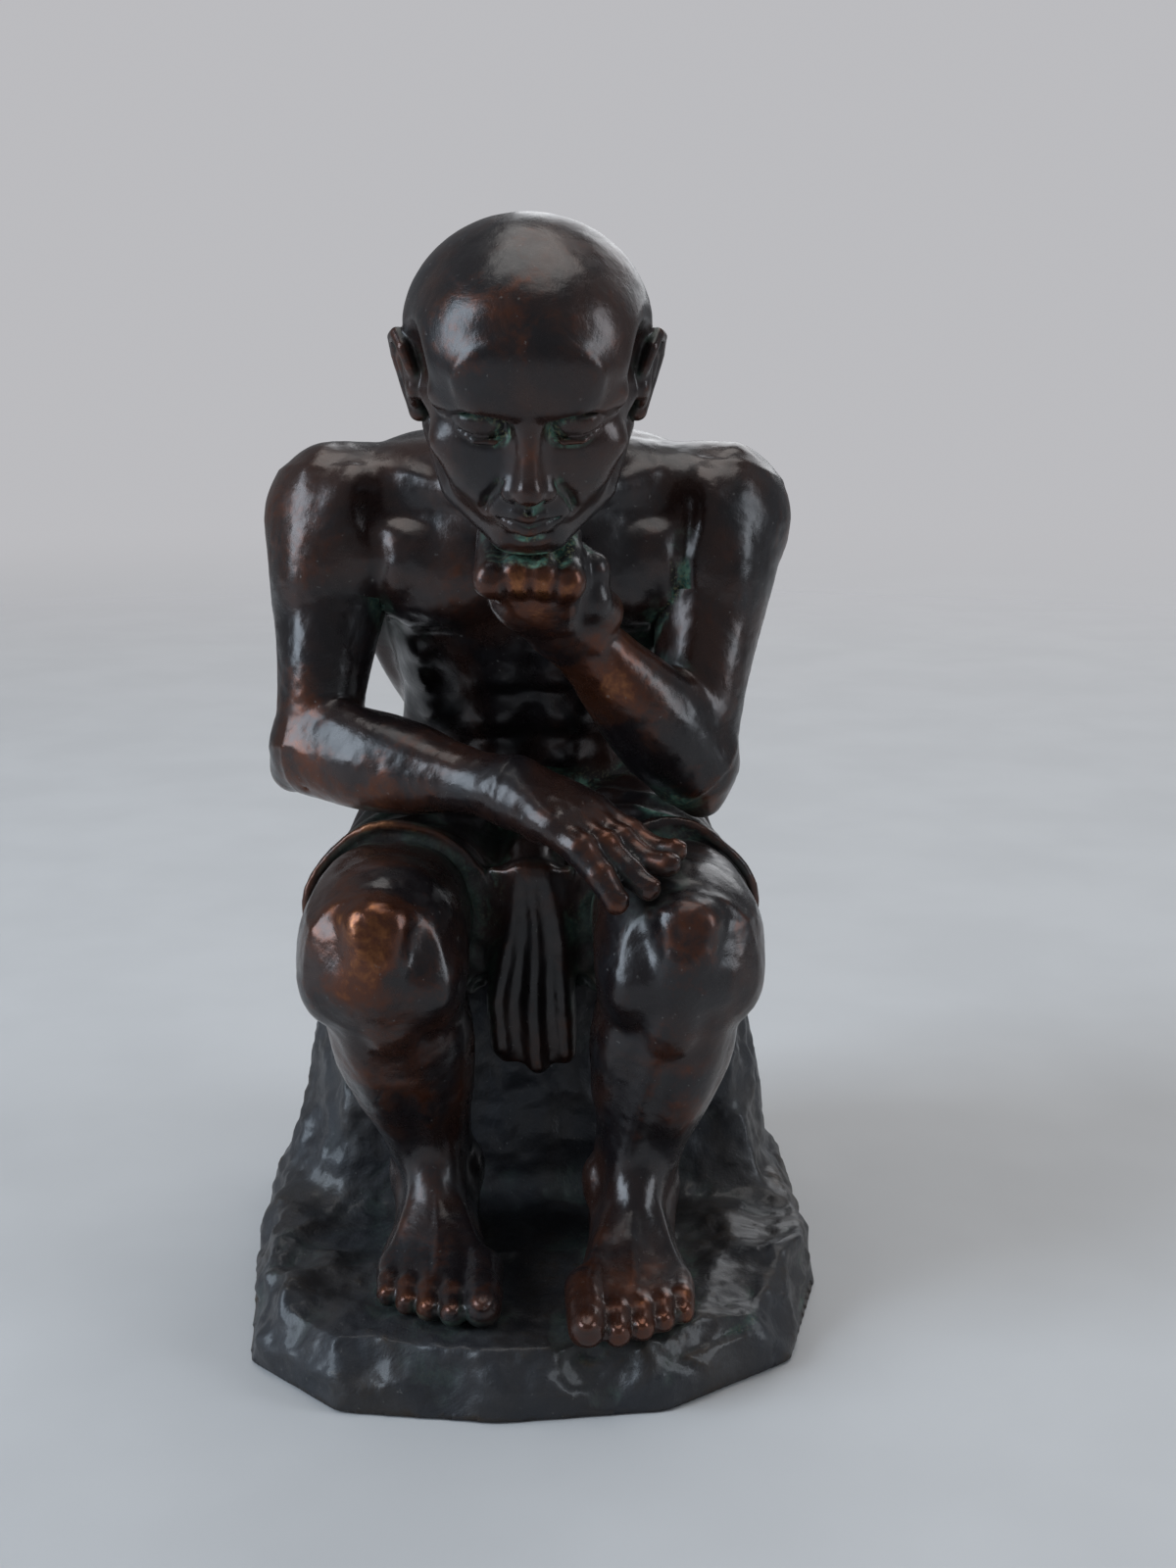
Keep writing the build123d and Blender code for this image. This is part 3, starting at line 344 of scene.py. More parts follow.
def skin(clay, labels, seams=()):
    """Meshes of the labelled parts of a field. labels is 0 outside, and seams are (point, normal) planes.
    Gives, for each label, points, quads and which points lie on the outer surface."""
    corner_labels = cells(labels)
    active = np.min(corner_labels, axis=0) != np.max(corner_labels, axis=0)
    where = np.argwhere(active)
    count = len(where)
    number = np.full(active.shape, -1, np.int32)
    number[active] = np.arange(count)
    sign = np.stack([c[active] for c in corner_labels], 1)
    value = np.stack([c[active] for c in cells(clay.field)], 1)
    total, inner_total = np.zeros((2, count, 3))
    hits, inner_hits = np.zeros((2, count))
    for a, b in EDGES:
        crossed = (sign[:, a] == 0) != (sign[:, b] == 0)
        t = value[:, a] / np.where(crossed, value[:, a] - value[:, b], 1)
        place = CORNERS[a] + (CORNERS[b] - CORNERS[a]) * np.clip(t, 0.02, 0.98)[:, None]
        total += np.where(crossed[:, None], place, 0)
        hits += crossed
        mixed = (sign[:, a] != sign[:, b]) & ~crossed
        inner_total += np.where(mixed[:, None], (CORNERS[a] + CORNERS[b]) / 2, 0)
        inner_hits += mixed
    outer = hits > 0
    local = np.where(outer[:, None], total / np.maximum(hits, 1)[:, None],
                     inner_total / np.maximum(inner_hits, 1)[:, None])
    points = clay.low + (where + local) * clay.step

    quads, sides = [], []
    for axis in range(3):
        first, second = ([slice(1, n - 1) for n in labels.shape] for _ in range(2))
        first[axis], second[axis] = slice(0, labels.shape[axis] - 1), slice(1, labels.shape[axis])
        la, lb = labels[tuple(first)], labels[tuple(second)]
        start = np.argwhere(la != lb)
        others = [k for k in range(3) if k != axis]
        start[:, others] += 1
        corners = []
        for shift in ((-1, -1), (0, -1), (0, 0), (-1, 0)):
            c = start.copy()
            c[:, others] += shift
            corners.append(number[tuple(c.T)])
        quad = np.stack(corners, 1)
        quads.append(quad[:, ::-1] if axis == 1 else quad)
        sides.append(np.stack((la[la != lb], lb[la != lb]), 1))
    quads, sides = np.concatenate(quads), np.concatenate(sides)
    shown = (sides == 0).any(1)
    facing = np.where(sides[:, :1] == 0, quads[:, ::-1], quads)
    on_seam = np.zeros(count, bool)
    many = ((sign != 0) & (sign != sign.max(1)[:, None])).any(1)

    def settle(p):
        """Onto the surface, and onto the seam planes along it."""
        for _ in range(2):
            d = clay.at(p[outer])
            p[outer] -= clay.slope(p[outer]) * np.clip(d, -clay.step, clay.step)[:, None]
            for q, n in seams:
                off = (p - q) @ n
                near = many & (np.abs(off) < clay.step * 1.3)
                p[near] -= off[near][:, None] * n
                on_seam[near] = True

    settle(points)
    mean = averager(count, edges_of(facing[shown]))
    free = outer & ~many
    for _ in range(2):
        points[free] += (mean(points)[free] - points[free]) * 0.5
        settle(points)
    inner_edge = edges_of(quads[~shown])
    if len(inner_edge):
        mean = averager(count, np.concatenate((inner_edge, inner_edge[:, ::-1])))
        soft = ~outer & ~on_seam
        for _ in range(12):
            points[soft] = mean(points)[soft]
    parts = {}
    for label in range(1, int(labels.max()) + 1):
        mine = (sides == label).any(1)
        own = np.where(sides[mine][:, 1:] == label, quads[mine][:, ::-1], quads[mine])
        used, renumbered = np.unique(own, return_inverse=True)
        parts[label] = {"points": points[used], "quads": renumbered.reshape(-1, 4), "outer": outer[used],
                        "shown": shown[mine], "clay": clay}
    return parts


# ---------------------------------------------------------------- noise at points

LATTICE = np.random.default_rng(11).random((32, 32, 32)).astype(np.float32) * 2 - 1


def noise(points, size, shift=0.0):
    """Smooth noise from -1 to 1 with features of that size in millimetres."""
    q = points / size + 100.37 + shift
    base = np.floor(q).astype(np.int64)
    f = (q - base).astype(np.float32)
    out = np.zeros(len(points), np.float32)
    for corner, share in corner_shares(f * f * (3 - 2 * f)):
        out += share * LATTICE[tuple((base + corner).T % 32)]
    return out


def fractal(points, size, octaves, shift):
    return sum(noise(points, size / 2 ** k, shift + 7.3 * k) / 2 ** k for k in range(octaves))


# ---------------------------------------------------------------- trunk, shoulders and arms

TRUNK_ROWS = (
    (50.6, 24.4, 15.2, 11, 10), (55.9, 23.5, 14.6, 10.7, 10.4), (61.8, 22, 14.4, 10.7, 11),
    (70.6, 19.2, 15.8, 11.6, 12.6), (80.4, 15.6, 17.4, 12.4, 13.8), (89.2, 12.7, 17.4, 11.6, 13.8),
    (95.6, 10.5, 13.6, 8.9, 12), (99.6, 9.6, 8, 5.6, 7.6))
UPPER_ARM_ROWS = (
    (-0.12, 0.86, 0.9, 0.9), (0, 1, 1.04, 1.04), (0.2, 1.02, 1.04, 1.04), (0.36, 0.92, 0.96, 0.96),
    (0.56, 0.8, 0.88, 0.88), (0.8, 0.7, 0.78, 0.76), (1, 0.66, 0.7, 0.72))
FOREARM_ROWS = (
    (0, 0.84, 0.88, 0.88), (0.12, 0.94, 0.94, 0.94), (0.27, 0.98, 0.96, 0.96), (0.5, 0.88, 0.86, 0.86),
    (0.8, 0.68, 0.6, 0.6), (1, 0.68, 0.56, 0.56))
NECK_ROWS = ((-0.05, 1.16, 1, 1.06), (0.25, 1.02, 0.94, 1), (0.6, 0.92, 0.9, 0.98), (1, 0.9, 0.88, 0.98))
NECK_RADIUS = 9.3
TRUNK_SIDE = (
    (rod, 2, (0, 11.8, 93.8), (18, 12.2, 92.4), 8.8, 8),
    (rod, 2, (0, 6.8, 97.2), (14.5, 10, 94.4), 6.6, 5.6),
    # chest and collarbone
    (egg, 1.4, (9.6, 5, 86.2), 9.8, 4.8, 7, (0.3, 0.1, 1), (0.25, -1, -0.1)),
    (muscle, 1.6, (11, 3, 88), (21.5, 5.5, 87), 4.6, 3.4),
    (line, -1.8, (0.4, 0.6, 0.4), (3.2, 1, 79), (8.5, 0.4, 78.1), (14.5, 2.8, 79.8)),
    (line, 2, (1.3, 1.1, 1, 0.9), (2.4, 1, 94.6), (8, 2, 95.4), (14, 5, 96.6), (19, 9, 97.2)),
    # ribs and belly
    (muscle, 2.4, (14.2, 7.4, 79.5), (17.2, 15.5, 82), 2, 1.35, (1, -0.4, 0)),
    (muscle, 2.4, (13.4, 8.8, 75.4), (16.6, 17, 78), 2, 1.35, (1, -0.4, 0)),
    (muscle, 2.4, (12.8, 10.4, 71.4), (15.8, 18.4, 74), 2, 1.35, (1, -0.4, 0)),
    (muscle, 2.4, (12, 12, 67.6), (15, 19.6, 70), 2, 1.35, (1, -0.4, 0)),
    (egg, 1.5, (3.9, 9.8, 73.2), 3.9, 3.3, 3.1, (0, 0.3, 1)),
    (egg, 1.5, (3.9, 11.8, 67.4), 3.8, 3.3, 3.1, (0, 0.3, 1)),
    (egg, 1.5, (3.9, 13.6, 61.8), 3.6, 3.3, 3.1, (0, 0.3, 1)),
    (egg, 1.5, (3.9, 15.2, 56.2), 3.4, 3.3, 3.1, (0, 0.3, 1)),
    (muscle, 1.8, (13.2, 16, 69), (12.8, 22, 53.5), 3.4, 3.6, (1, -0.3, 0)),
    # back
    (muscle, 2.2, (20, 17.5, 86.5), (7.6, 29.2, 60.5), 6.4, 3.6, (0.7, 0.8, 0)),
    (egg, 1.8, (10.6, 24.4, 86.8), 6.2, 3.4, 8, (-0.18, -0.25, 1), (0.35, 1, 0.25)),
    (line, 2.6, (1.3, 1.5, 1.6, 1.5), (5, 24.4, 89.6), (12, 22, 93.6), (18.5, 16.8, 96.6), (22.5, 12.6, 97.4)),
    (muscle, 1.3, (9, 27, 79.5), (21.8, 16.5, 86), 3, 2.6, (0, 1, 0)),
    (muscle, 2.6, (2.8, 29, 71), (4.6, 14.2, 102), 4.6, 2.6, (0, 1, 0.2)),
    (muscle, 1.8, (4, 17, 99.5), (16.5, 14.5, 99.2), 4.2, 2.6, (0, 0.3, 1)),
    (line, 2.6, (1.6, 2.4, 3, 3.2, 3), (3.6, 25.6, 88), (4, 28.4, 80), (4.2, 30, 72), (4.4, 31.2, 60), (4.4, 31, 51)),
    (line, -2.4, (0.3, 0.6, 0.4), (6.4, 28.4, 91.5), (7.6, 29.6, 84), (11.4, 29.4, 79)),
)
TRUNK_MIDDLE = (
    (line, -1.6, (0.6, 0.9, 0.7, 0.6, 0.5), (0, -0.2, 93), (0, 0.2, 86), (0, 2.4, 79), (0, 6.4, 71), (0, 11, 58)),
    (line, -3, (0.6, 1.1, 1.4, 1.3, 1), (0, 23.4, 98.4), (0, 27.9, 90), (0, 31, 80), (0, 33.2, 68), (0, 34.6, 54)),
    (rod, -1.5, (-5.6, 7.2, 70.3), (5.6, 7.2, 70.3), 0.4),
    (rod, -1.5, (-5.6, 9.2, 64.6), (5.6, 9.2, 64.6), 0.4),
    (rod, -1.5, (-5.6, 11.1, 59), (5.6, 11.1, 59), 0.4),
)
ARMPIT = ((line, -2.2, (0.2, 0.4, 0.2), (18.6, 1.6, 94), (17.6, 0.9, 88), (18.2, 2.6, 82)),)
# deltoid and the root of the arm, on the upper arm's bone
SHOULDER_FORMS = (
    (egg, 2, (0, 0, 0, 0), 8.6, 8.6, 8.4),
    (muscle, 1.6, (24.8, 10.6, 99), (0.5, 2.6, 0, 0), 7.4, 4.4, (1, 0, 0.1)),
    (muscle, 2, (20.5, 5, 97), (0.46, 1.5, -2.2, 0), 4, 4.4, (0.4, -1, 0)),
    (muscle, 2, (21.5, 17.5, 96.4), (0.46, 1.5, 2.2, 0), 4, 4.4, (0.4, 1, 0)),
    (muscle, 1.4, (0.26, 0, -3.6, 0), (0.9, 0, -2, 0), 4.3, 4.2),
    (muscle, 1.4, (0.16, 1.6, 3.6, 0), (0.8, 1.2, 2.6, 0), 4.6, 4, (0, 1, 0)),
    (muscle, 1.2, (0.3, -2.4, 3, 0), (0.86, -1.6, 2.4, 0), 3.6, 3.6, (0, 1, 0)),
    (line, -1.3, (0.3, 0.55, 0.3), (0.46, 6.9, -1.2, 0), (0.66, 5.9, -0.6, 0), (0.84, 5, -0.4, 0)),
)


def seam(a, b, share):
    return between(a, b, share), unit(np.subtract(b, a))


SHOULDER_SEAM = {s: seam(SHOULDER[s], ELBOW[s], 0.36) for s in (1, -1)}
ELBOW_SEAM = {s: seam(ELBOW[s], WRIST[s], 0.27) for s in (1, -1)}
NECK_SEAM = seam(NECK_ROOT, NAPE, 0.5)


def beyond(clay, plane):
    return dotted(*clay.grid(), *plane)


def neck(clay):
    clay.add(limb(NECK_ROOT, NAPE, NECK_RADIUS, NECK_ROWS), 2.5)
    for s in (1, -1):
        clay.add(muscle(on_head(s * 10, -3.5, -5), (s * 2.4, 0.6, 95.2), 2.3, 2, (s, -0.4, 0)), 1.4)
        clay.add(muscle((s * 4.2, 15.5, 100.5), on_head(s * 5, -12, -2.5), 4.6, 3.2, (0, 0.4, 1)), 2.2)
        clay.cut(rod((s * 7.8, 9, 103.2), on_head(s * 9.6, -7.6, -5.2), 0.5), 1.4)
    clay.cut(rod((0, 18.6, 102.6), on_head(0, -15.2, -4.5), 0.8, 0.5), 1.6)


def shoulder(clay, s):
    """Shared by trunk and arm, so that they meet at the seam."""
    clay.add(limb(SHOULDER[s], ELBOW[s], 7.6, UPPER_ARM_ROWS), 2)
    work(clay, SHOULDER_FORMS, s, (SHOULDER[s], ELBOW[s]))


def trunk():
    """The clay, and its field before the shoulders are joined on."""
    clay = Clay((-37, -6, 49), (37, 41, 112), BODY_STEP)
    clay.add(column(TRUNK_ROWS, 2.3))
    for s in (1, -1):
        work(clay, TRUNK_SIDE, s)
    neck(clay)
    bare = clay.field.copy()
    for s in (1, -1):
        stub = Clay((-37, -6, 49), (37, 41, 112), BODY_STEP)
        shoulder(stub, s)
        stub.field = np.maximum(stub.field, beyond(stub, SHOULDER_SEAM[s]) - 1.6)
        clay.field = joined(clay.field, stub.field, 2.4).astype(np.float32)
        work(clay, ARMPIT, s)
    work(clay, TRUNK_MIDDLE)
    return clay, bare


def arm(s):
    a, b, c = (np.array(p) for p in (SHOULDER[s], ELBOW[s], WRIST[s]))
    low, high = np.min((a, b, c), 0) - 15, np.max((a, b, c), 0) + (15, 15, 16)
    if s < 0:
        low, high = low - (0, 12, 0), high + (19, 0, 0)
    clay = Clay(low, high, FINE_STEP * 1.12)
    shoulder(clay, s)
    up, down = unit(a - b), unit(c - b)
    point = -unit(up + down)
    side = unit(np.cross(up, down)) * s
    out = -side if side[0] * s < 0 else side
    clay.add(egg(b, 5.5, 5.5, 5.5), 1.2)
    clay.add(limb(b, c, 6.2, FOREARM_ROWS, UP if s < 0 else FRONT, 2.15), 1.2)
    clay.add(egg(b + point * 3.4, 2.6, 3, 3.4, point, (s, 0, 0)), 1.2)
    clay.add(muscle(between(b, a, 0.22) + out * 3 - up * 2, between(b, c, 0.62) + out * 1.6, 3.4, 3.1, out), 1.2)
    clay.add(muscle(b + down * 2 - point * 1.6, between(b, c, 0.66) - point * 1.2, 4.6, 3.9, -point), 1.2)
    clay.add(muscle(b + down + point * 1.2, between(b, c, 0.74) + point, 3.4, 3.2, point), 1)
    clay.tube([between(b, c, t) + point * back + out * aside for t, back, aside in
               ((0.2, 5.6, 2.6), (0.5, 4.4, 2.2), (0.8, 2.8, 1.8))], (0.3, 0.5, 0.3), 1.2, cut=True)
    clay.add(egg(c, 4.2, 3.3, 3.8, down), 1)
    clay.add(egg(c + out * 2.6 + point * 1.2 - down * 1.6, 1.3, 1.3, 1.8, down), 0.8)
    (fist if s > 0 else open_hand)(clay, c)
    return clay


FINGER_GAP = 2.75


def palm(wrist, knuckles, hint, rows):
    rows = [(t, w * 6.3, d * 3.8, e * 3.8) for t, w, d, e in rows]
    return limb(wrist, knuckles, 1, rows, hint, 2.3)


def fist(clay, wrist):
    """The left hand, closed under the chin."""
    def spot(left, ahead, down):
        return FIST_TOP + np.array((left, 0, 0)) + HEAD_AHEAD * ahead - HEAD_UP * down
    knuckles = spot(0, 0.76, 2.66)
    clay.add(palm(wrist, knuckles, FRONT, (
        (-0.45, 0.4, 0.6, 0.6), (0, 0.68, 0.98, 0.9), (0.3, 0.84, 1.08, 1), (0.75, 0.98, 1.15, 1.1),
        (1, 0.9, 0.95, 0.9))), 1.8)
    clay.add(egg(spot(0, -0.6, 4.2), 5, 2.8, 2.8, HEAD_UP), 1.2)
    for k, lift in enumerate((0.35, 0, 0.15, 0.6)):
        x = (k - 1.5) * FINGER_GAP
        root, bend, tip = spot(x, 3.7, 1.9 + lift), spot(x * 0.98, -3.3, 1.5), spot(x * 0.94, -3, 6.4)
        clay.add(rod(root, bend, 1.95, 1.8), 0.45)
        clay.add(rod(bend, tip, 1.8, 1.6), 0.3)
        clay.add(egg(root - HEAD_AHEAD * 0.1, 1.75, 1.6, 1.9), 1.1)
        clay.add(rod(between(wrist, root, 0.3) + HEAD_AHEAD * 2.6, root + HEAD_AHEAD * 0.5, 0.6, 0.9), 1.4)
    for x in (-FINGER_GAP, 0, FINGER_GAP):
        clay.cut(rod(spot(x, 5.9, 0.8), spot(x, 5.6, 4.4), 0.22, 0.1), 1)
    root = between(wrist, knuckles, 0.18) + (4.6, 0.6, 0)
    middle, joint, tip = spot(7, 0.6, 7.4), spot(7.1, -0.8, 4.2), spot(4.6, -5, 4.4)
    clay.add(rod(root, middle, 2.7, 2.3), 1.2)
    clay.add(rod(middle, joint, 2.2, 1.9), 0.5)
    clay.add(rod(joint, tip, 1.9, 1.6), 0.4)


def open_hand(clay, wrist):
    """The right hand, laid over the left knee."""
    aim = unit((23.9, -16.4, 0))
    aside = np.cross(aim, UP)
    knuckles = wrist + aim * 10.2 - (0, 0, 2.5)
    clay.add(palm(wrist, knuckles, UP, (
        (-0.35, 0.4, 0.55, 0.6), (0, 0.68, 0.9, 0.92), (0.35, 0.84, 0.92, 0.98), (0.75, 0.97, 0.74, 0.88),
        (1, 0.86, 0.5, 0.58), (1.14, 0.6, 0.28, 0.34))), 1.8)
    for k, reach in enumerate((0.93, 1, 0.96, 0.8)):
        place = k - 1.5
        root = knuckles + aside * place * FINGER_GAP - aim * (1.2 + 0.35 * abs(place)) + (0, 0, 0.1)
        spread = aim + aside * place * 0.06
        first, second, tip = (on_knee(root + spread * t * reach, r) for t, r in ((4.6, 2.2), (8, 1.8), (10.8, 1.5)))
        first[2] = max(first[2], root[2] - 1.8)
        second[2] = max(second[2], first[2] - 2.4)
        tip[2] = max(tip[2], second[2] - 2.6)
        clay.add(rod(root, first, 1.95, 1.75), 0.4)
        clay.add(rod(first, second, 1.75, 1.62), 0.35)
        clay.add(rod(second, tip, 1.62, 1.4), 0.35)
        clay.add(egg(root + (0, 0, 0.35), 1.8, 1.8, 1.8), 1)
        clay.add(egg(first + (0, 0, 0.2), 1.75, 1.7, 1.7), 0.5)
        clay.add(rod(between(wrist, root, 0.3) + (0, 0, 2.4), root + (0, 0, 0.7), 0.5, 0.8), 1.4)
        nail(clay, tip, 1.4, aim - (0, 0, 0.35), aim * 0.35 + (0, 0, 1))
    root = between(wrist, knuckles, 0.12) - aside * 3.6 - (0, 0, 0.6)
    joint = between(wrist, knuckles, 0.72) - aside * 7 - (0, 0, 2.4)
    tip = between(wrist, knuckles, 1.18) - aside * 6.4 - (0, 0, 4.2)
    clay.add(rod(root, joint, 2.7, 2.1), 1.2)
    clay.add(rod(joint, tip, 2.05, 1.6), 0.4)
    clay.add(egg(joint, 2.2, 2.2, 2.2), 0.4)


def on_knee(place, thickness):
    """A place where a finger of that thickness lies on the left knee, or over the lap beside it."""
    knee = KNEE[1]
    reach = 9.6 + thickness * 0.95
    beside = min(abs(place[0] - knee[0]), reach * 0.86)
    ahead = min(place[1] - knee[1], 0)
    inside = reach * reach - beside ** 2 - ahead * ahead
    return np.array((place[0], place[1], knee[2] + math.sqrt(max(inside, 1))))


def nail(clay, tip, radius, aim, up):
    """A thin plate that stands a little proud of the tip of a finger or toe."""
    aim, up = unit(aim), unit(up)
    place = tip + up * radius * 0.78 + aim * radius * 0.1
    clay.add(egg(place, radius * 0.6, radius * 0.3, radius * 0.8, aim, up), 0.2)


# ---------------------------------------------------------------- head

# Rows: blend, radii and places, in the head's own measures: left, ahead and up from its middle. A blend under 0
# cuts away. Several places make a line. One place makes an egg of three radii, and two more numbers after them are
# how far it leans to the left and ahead.
SKULL = (
    (0, (13.4, 13, 11.9), (0, -1.6, 4.2)),
    (1.5, (12.2, 10.2, 10.2), (0, 3.6, 5)),
    (2, (9, 9, 9.6), (0, 3.8, -6.4)),
)
CHEEK = (
    (1.8, (2.8, 2.5, 2.3), (8.9, -1.6, -7.2), (7.2, 4.4, -11.4), (2.4, 9.6, -13.7)),
    (2.2, (3.6, 2.7, 2.6, 0.1, 0), (6.8, 8.2, -3.2)),
    (2.4, (1.5, 1.1), (7.6, 7, -2.8), (11, -0.4, -0.9)),
    (-2.6, (2.4, 4.6, 3.8), (12.6, 4.6, 3.2)),
    (2.6, (3.8, 3.2, 4.6), (5, 8.2, -5.6)),
)
JAW = (
    (2.2, (6.9, 5.8, 6.6), (0, 6.6, -5.2)),
    (1.8, (5.2, 4.1, 4.4), (0, 9.6, -9.2)),
    (1.6, (3.6, 2.8, 3), (0, 9.9, -13.4)),
)
FACE_SIDE = (
    # brow, socket, eye and lids
    (1.8, (1.2, 1.3, 1), (1.6, 12.2, 3.2), (5, 11.9, 3.5), (9, 8.7, 2.3)),
    (-1.1, (3.3, 2.4, 1.9), (4.9, 12.6, 0.2)),
    (0.2, (2.6, 2.6, 2.5), (4.8, 9.4, -0.1)),
    (0.25, (3.1, 2.75, 2.35), (4.8, 9.5, 0.35)),
    (0.35, (0.22, 0.34, 0.34, 0.2), (2.3, 11.4, -0.8), (3.6, 12.3, -1.2), (5.6, 12.1, -1.2), (7.6, 10.5, -0.6)),
    (-0.2, (0.14, 0.2, 0.2, 0.14), (2.5, 11.7, -0.45), (3.7, 12.55, -0.75), (5.5, 12.3, -0.75), (7.3, 10.8, -0.35)),
    (-0.4, (0.15, 0.26, 0.15), (2.5, 11.5, 1.5), (4.6, 12.2, 1.95), (7.6, 10.3, 1.4)),
    # ear
    (0.9, (1.2, 2.6, 4.2, 0.08, -0.16), (12.5, -1.5, -0.8)),
    (0.35, (0.55, 0.65, 0.72, 0.75, 0.75, 0.72, 0.72, 0.9, 1.15), (11.8, 0.9, -0.6), (12.6, 1, 1.2),
     (13.3, 0, 2.9), (14, -2, 3.4), (14.4, -3.6, 2.1), (14.2, -4, -0.2), (13.5, -3.3, -2.6), (12.6, -2, -4.4),
     (11.9, -0.9, -5.4)),
    (-0.4, (0.9, 1.2, 2, 0.05, -0.16), (13.8, -0.9, -0.7)),
    (0.35, (0.35, 0.45, 0.45, 0.4), (13.7, -1.9, 2), (13.9, -2.7, 0.2), (13.4, -2.4, -1.8), (12.7, -1.2, -3.2)),
    (0.6, (0.8, 0.8, 1.1), (12.2, 1.1, -1.6)),
    # wing of the nose, cheek line, lips
    (0.8, (1.25, 1.5, 1.15), (1.8, 13.2, -6.4)),
    (-1.3, (0.12, 0.22, 0.1), (2.9, 12.9, -5.8), (4.2, 12.2, -8), (4.6, 11.3, -9.8)),
    (0.8, (0.75, 0.8, 0.35), (0, 13.8, -9.3), (1.3, 13.5, -9.15), (3, 12.4, -9.9)),
    (0.8, (1, 0.9, 0.4), (0, 13.3, -11.2), (1.4, 13, -11.1), (2.7, 12.2, -10.6)),
)
FACE_MIDDLE = (
    # nose
    (1.4, (1.3, 1.7, 2.1), (0, 11.2, 2.2), (0, 11.8, -2), (0, 12.6, -5.8)),
    (0.9, (1.1, 1, 1.3), (0, 12.4, 2.2), (0, 13.6, -2), (0, 14.7, -5.3)),
    (0.7, (1.6, 1.7, 1.4), (0, 14.5, -5.9)),
    (-0.3, (0.55, 0.75, 0.6), (1.05, 14.4, -7.3)),
    (-0.3, (0.55, 0.75, 0.6), (-1.05, 14.4, -7.3)),
    # groove under the nose, mouth, groove over the chin, forehead
    (-0.5, (0.3, 0.35), (0, 14, -7.8), (0, 14.1, -8.6)),
    (-0.25, (0.2, 0.26, 0.26, 0.26, 0.2), (-3.1, 12.7, -10.2), (-1.6, 13.9, -10.1), (0, 14.4, -10.25),
     (1.6, 13.9, -10.1), (3.1, 12.7, -10.2)),
    (-0.9, (2.4, 0.9, 0.6), (0, 13.3, -12.5)),
    (2, (7.5, 1.6, 3.6), (0, 11.7, 6.4)),
)


def on_head(left, ahead, up):
    return HEAD + np.array((left, 0, 0)) + HEAD_AHEAD * ahead + HEAD_UP * up


def work_head(clay, rows, s=1):
    for blend, radii, *places in rows:
        places = [on_head(s * left, ahead, up) for left, ahead, up in places]
        if len(places) > 1:
            clay.tube(places, radii, abs(blend), blend < 0)
        else:
            left, ahead = radii[3:] or (0, 0)
            along = HEAD_AHEAD * ahead + HEAD_UP + (s * left, 0, 0)
            clay.add(egg(places[0], *radii[:3], along, HEAD_AHEAD), abs(blend), blend < 0)


def head():
    clay = Clay((-16.5, -37.5, 90), (16.5, 10, 128.5), FINE_STEP)
    work_head(clay, SKULL)
    clay.add(limb(NECK_ROOT, NAPE, NECK_RADIUS, NECK_ROWS), 2.2)
    for s in (1, -1):
        work_head(clay, CHEEK, s)
    work_head(clay, JAW)
    neck(clay)
    for s in (1, -1):
        work_head(clay, FACE_SIDE, s)
    work_head(clay, FACE_MIDDLE)
    return clay


# ---------------------------------------------------------------- legs

THIGH_ROWS = ((0, 0.96, 0.98, 0.92), (0.55, 0.96, 0.98, 0.92), (1, 0.88, 0.9, 0.87), (1.22, 0.64, 0.66, 0.64))
SHANK_ROWS = (
    (-0.14, 0.62, 0.66, 0.62), (0, 0.9, 0.93, 0.9), (0.18, 0.9, 0.88, 0.96), (0.4, 0.94, 0.8, 1.1),
    (0.6, 0.8, 0.7, 0.92), (0.8, 0.6, 0.57, 0.66), (0.93, 0.56, 0.55, 0.6), (1.06, 0.58, 0.56, 0.62))
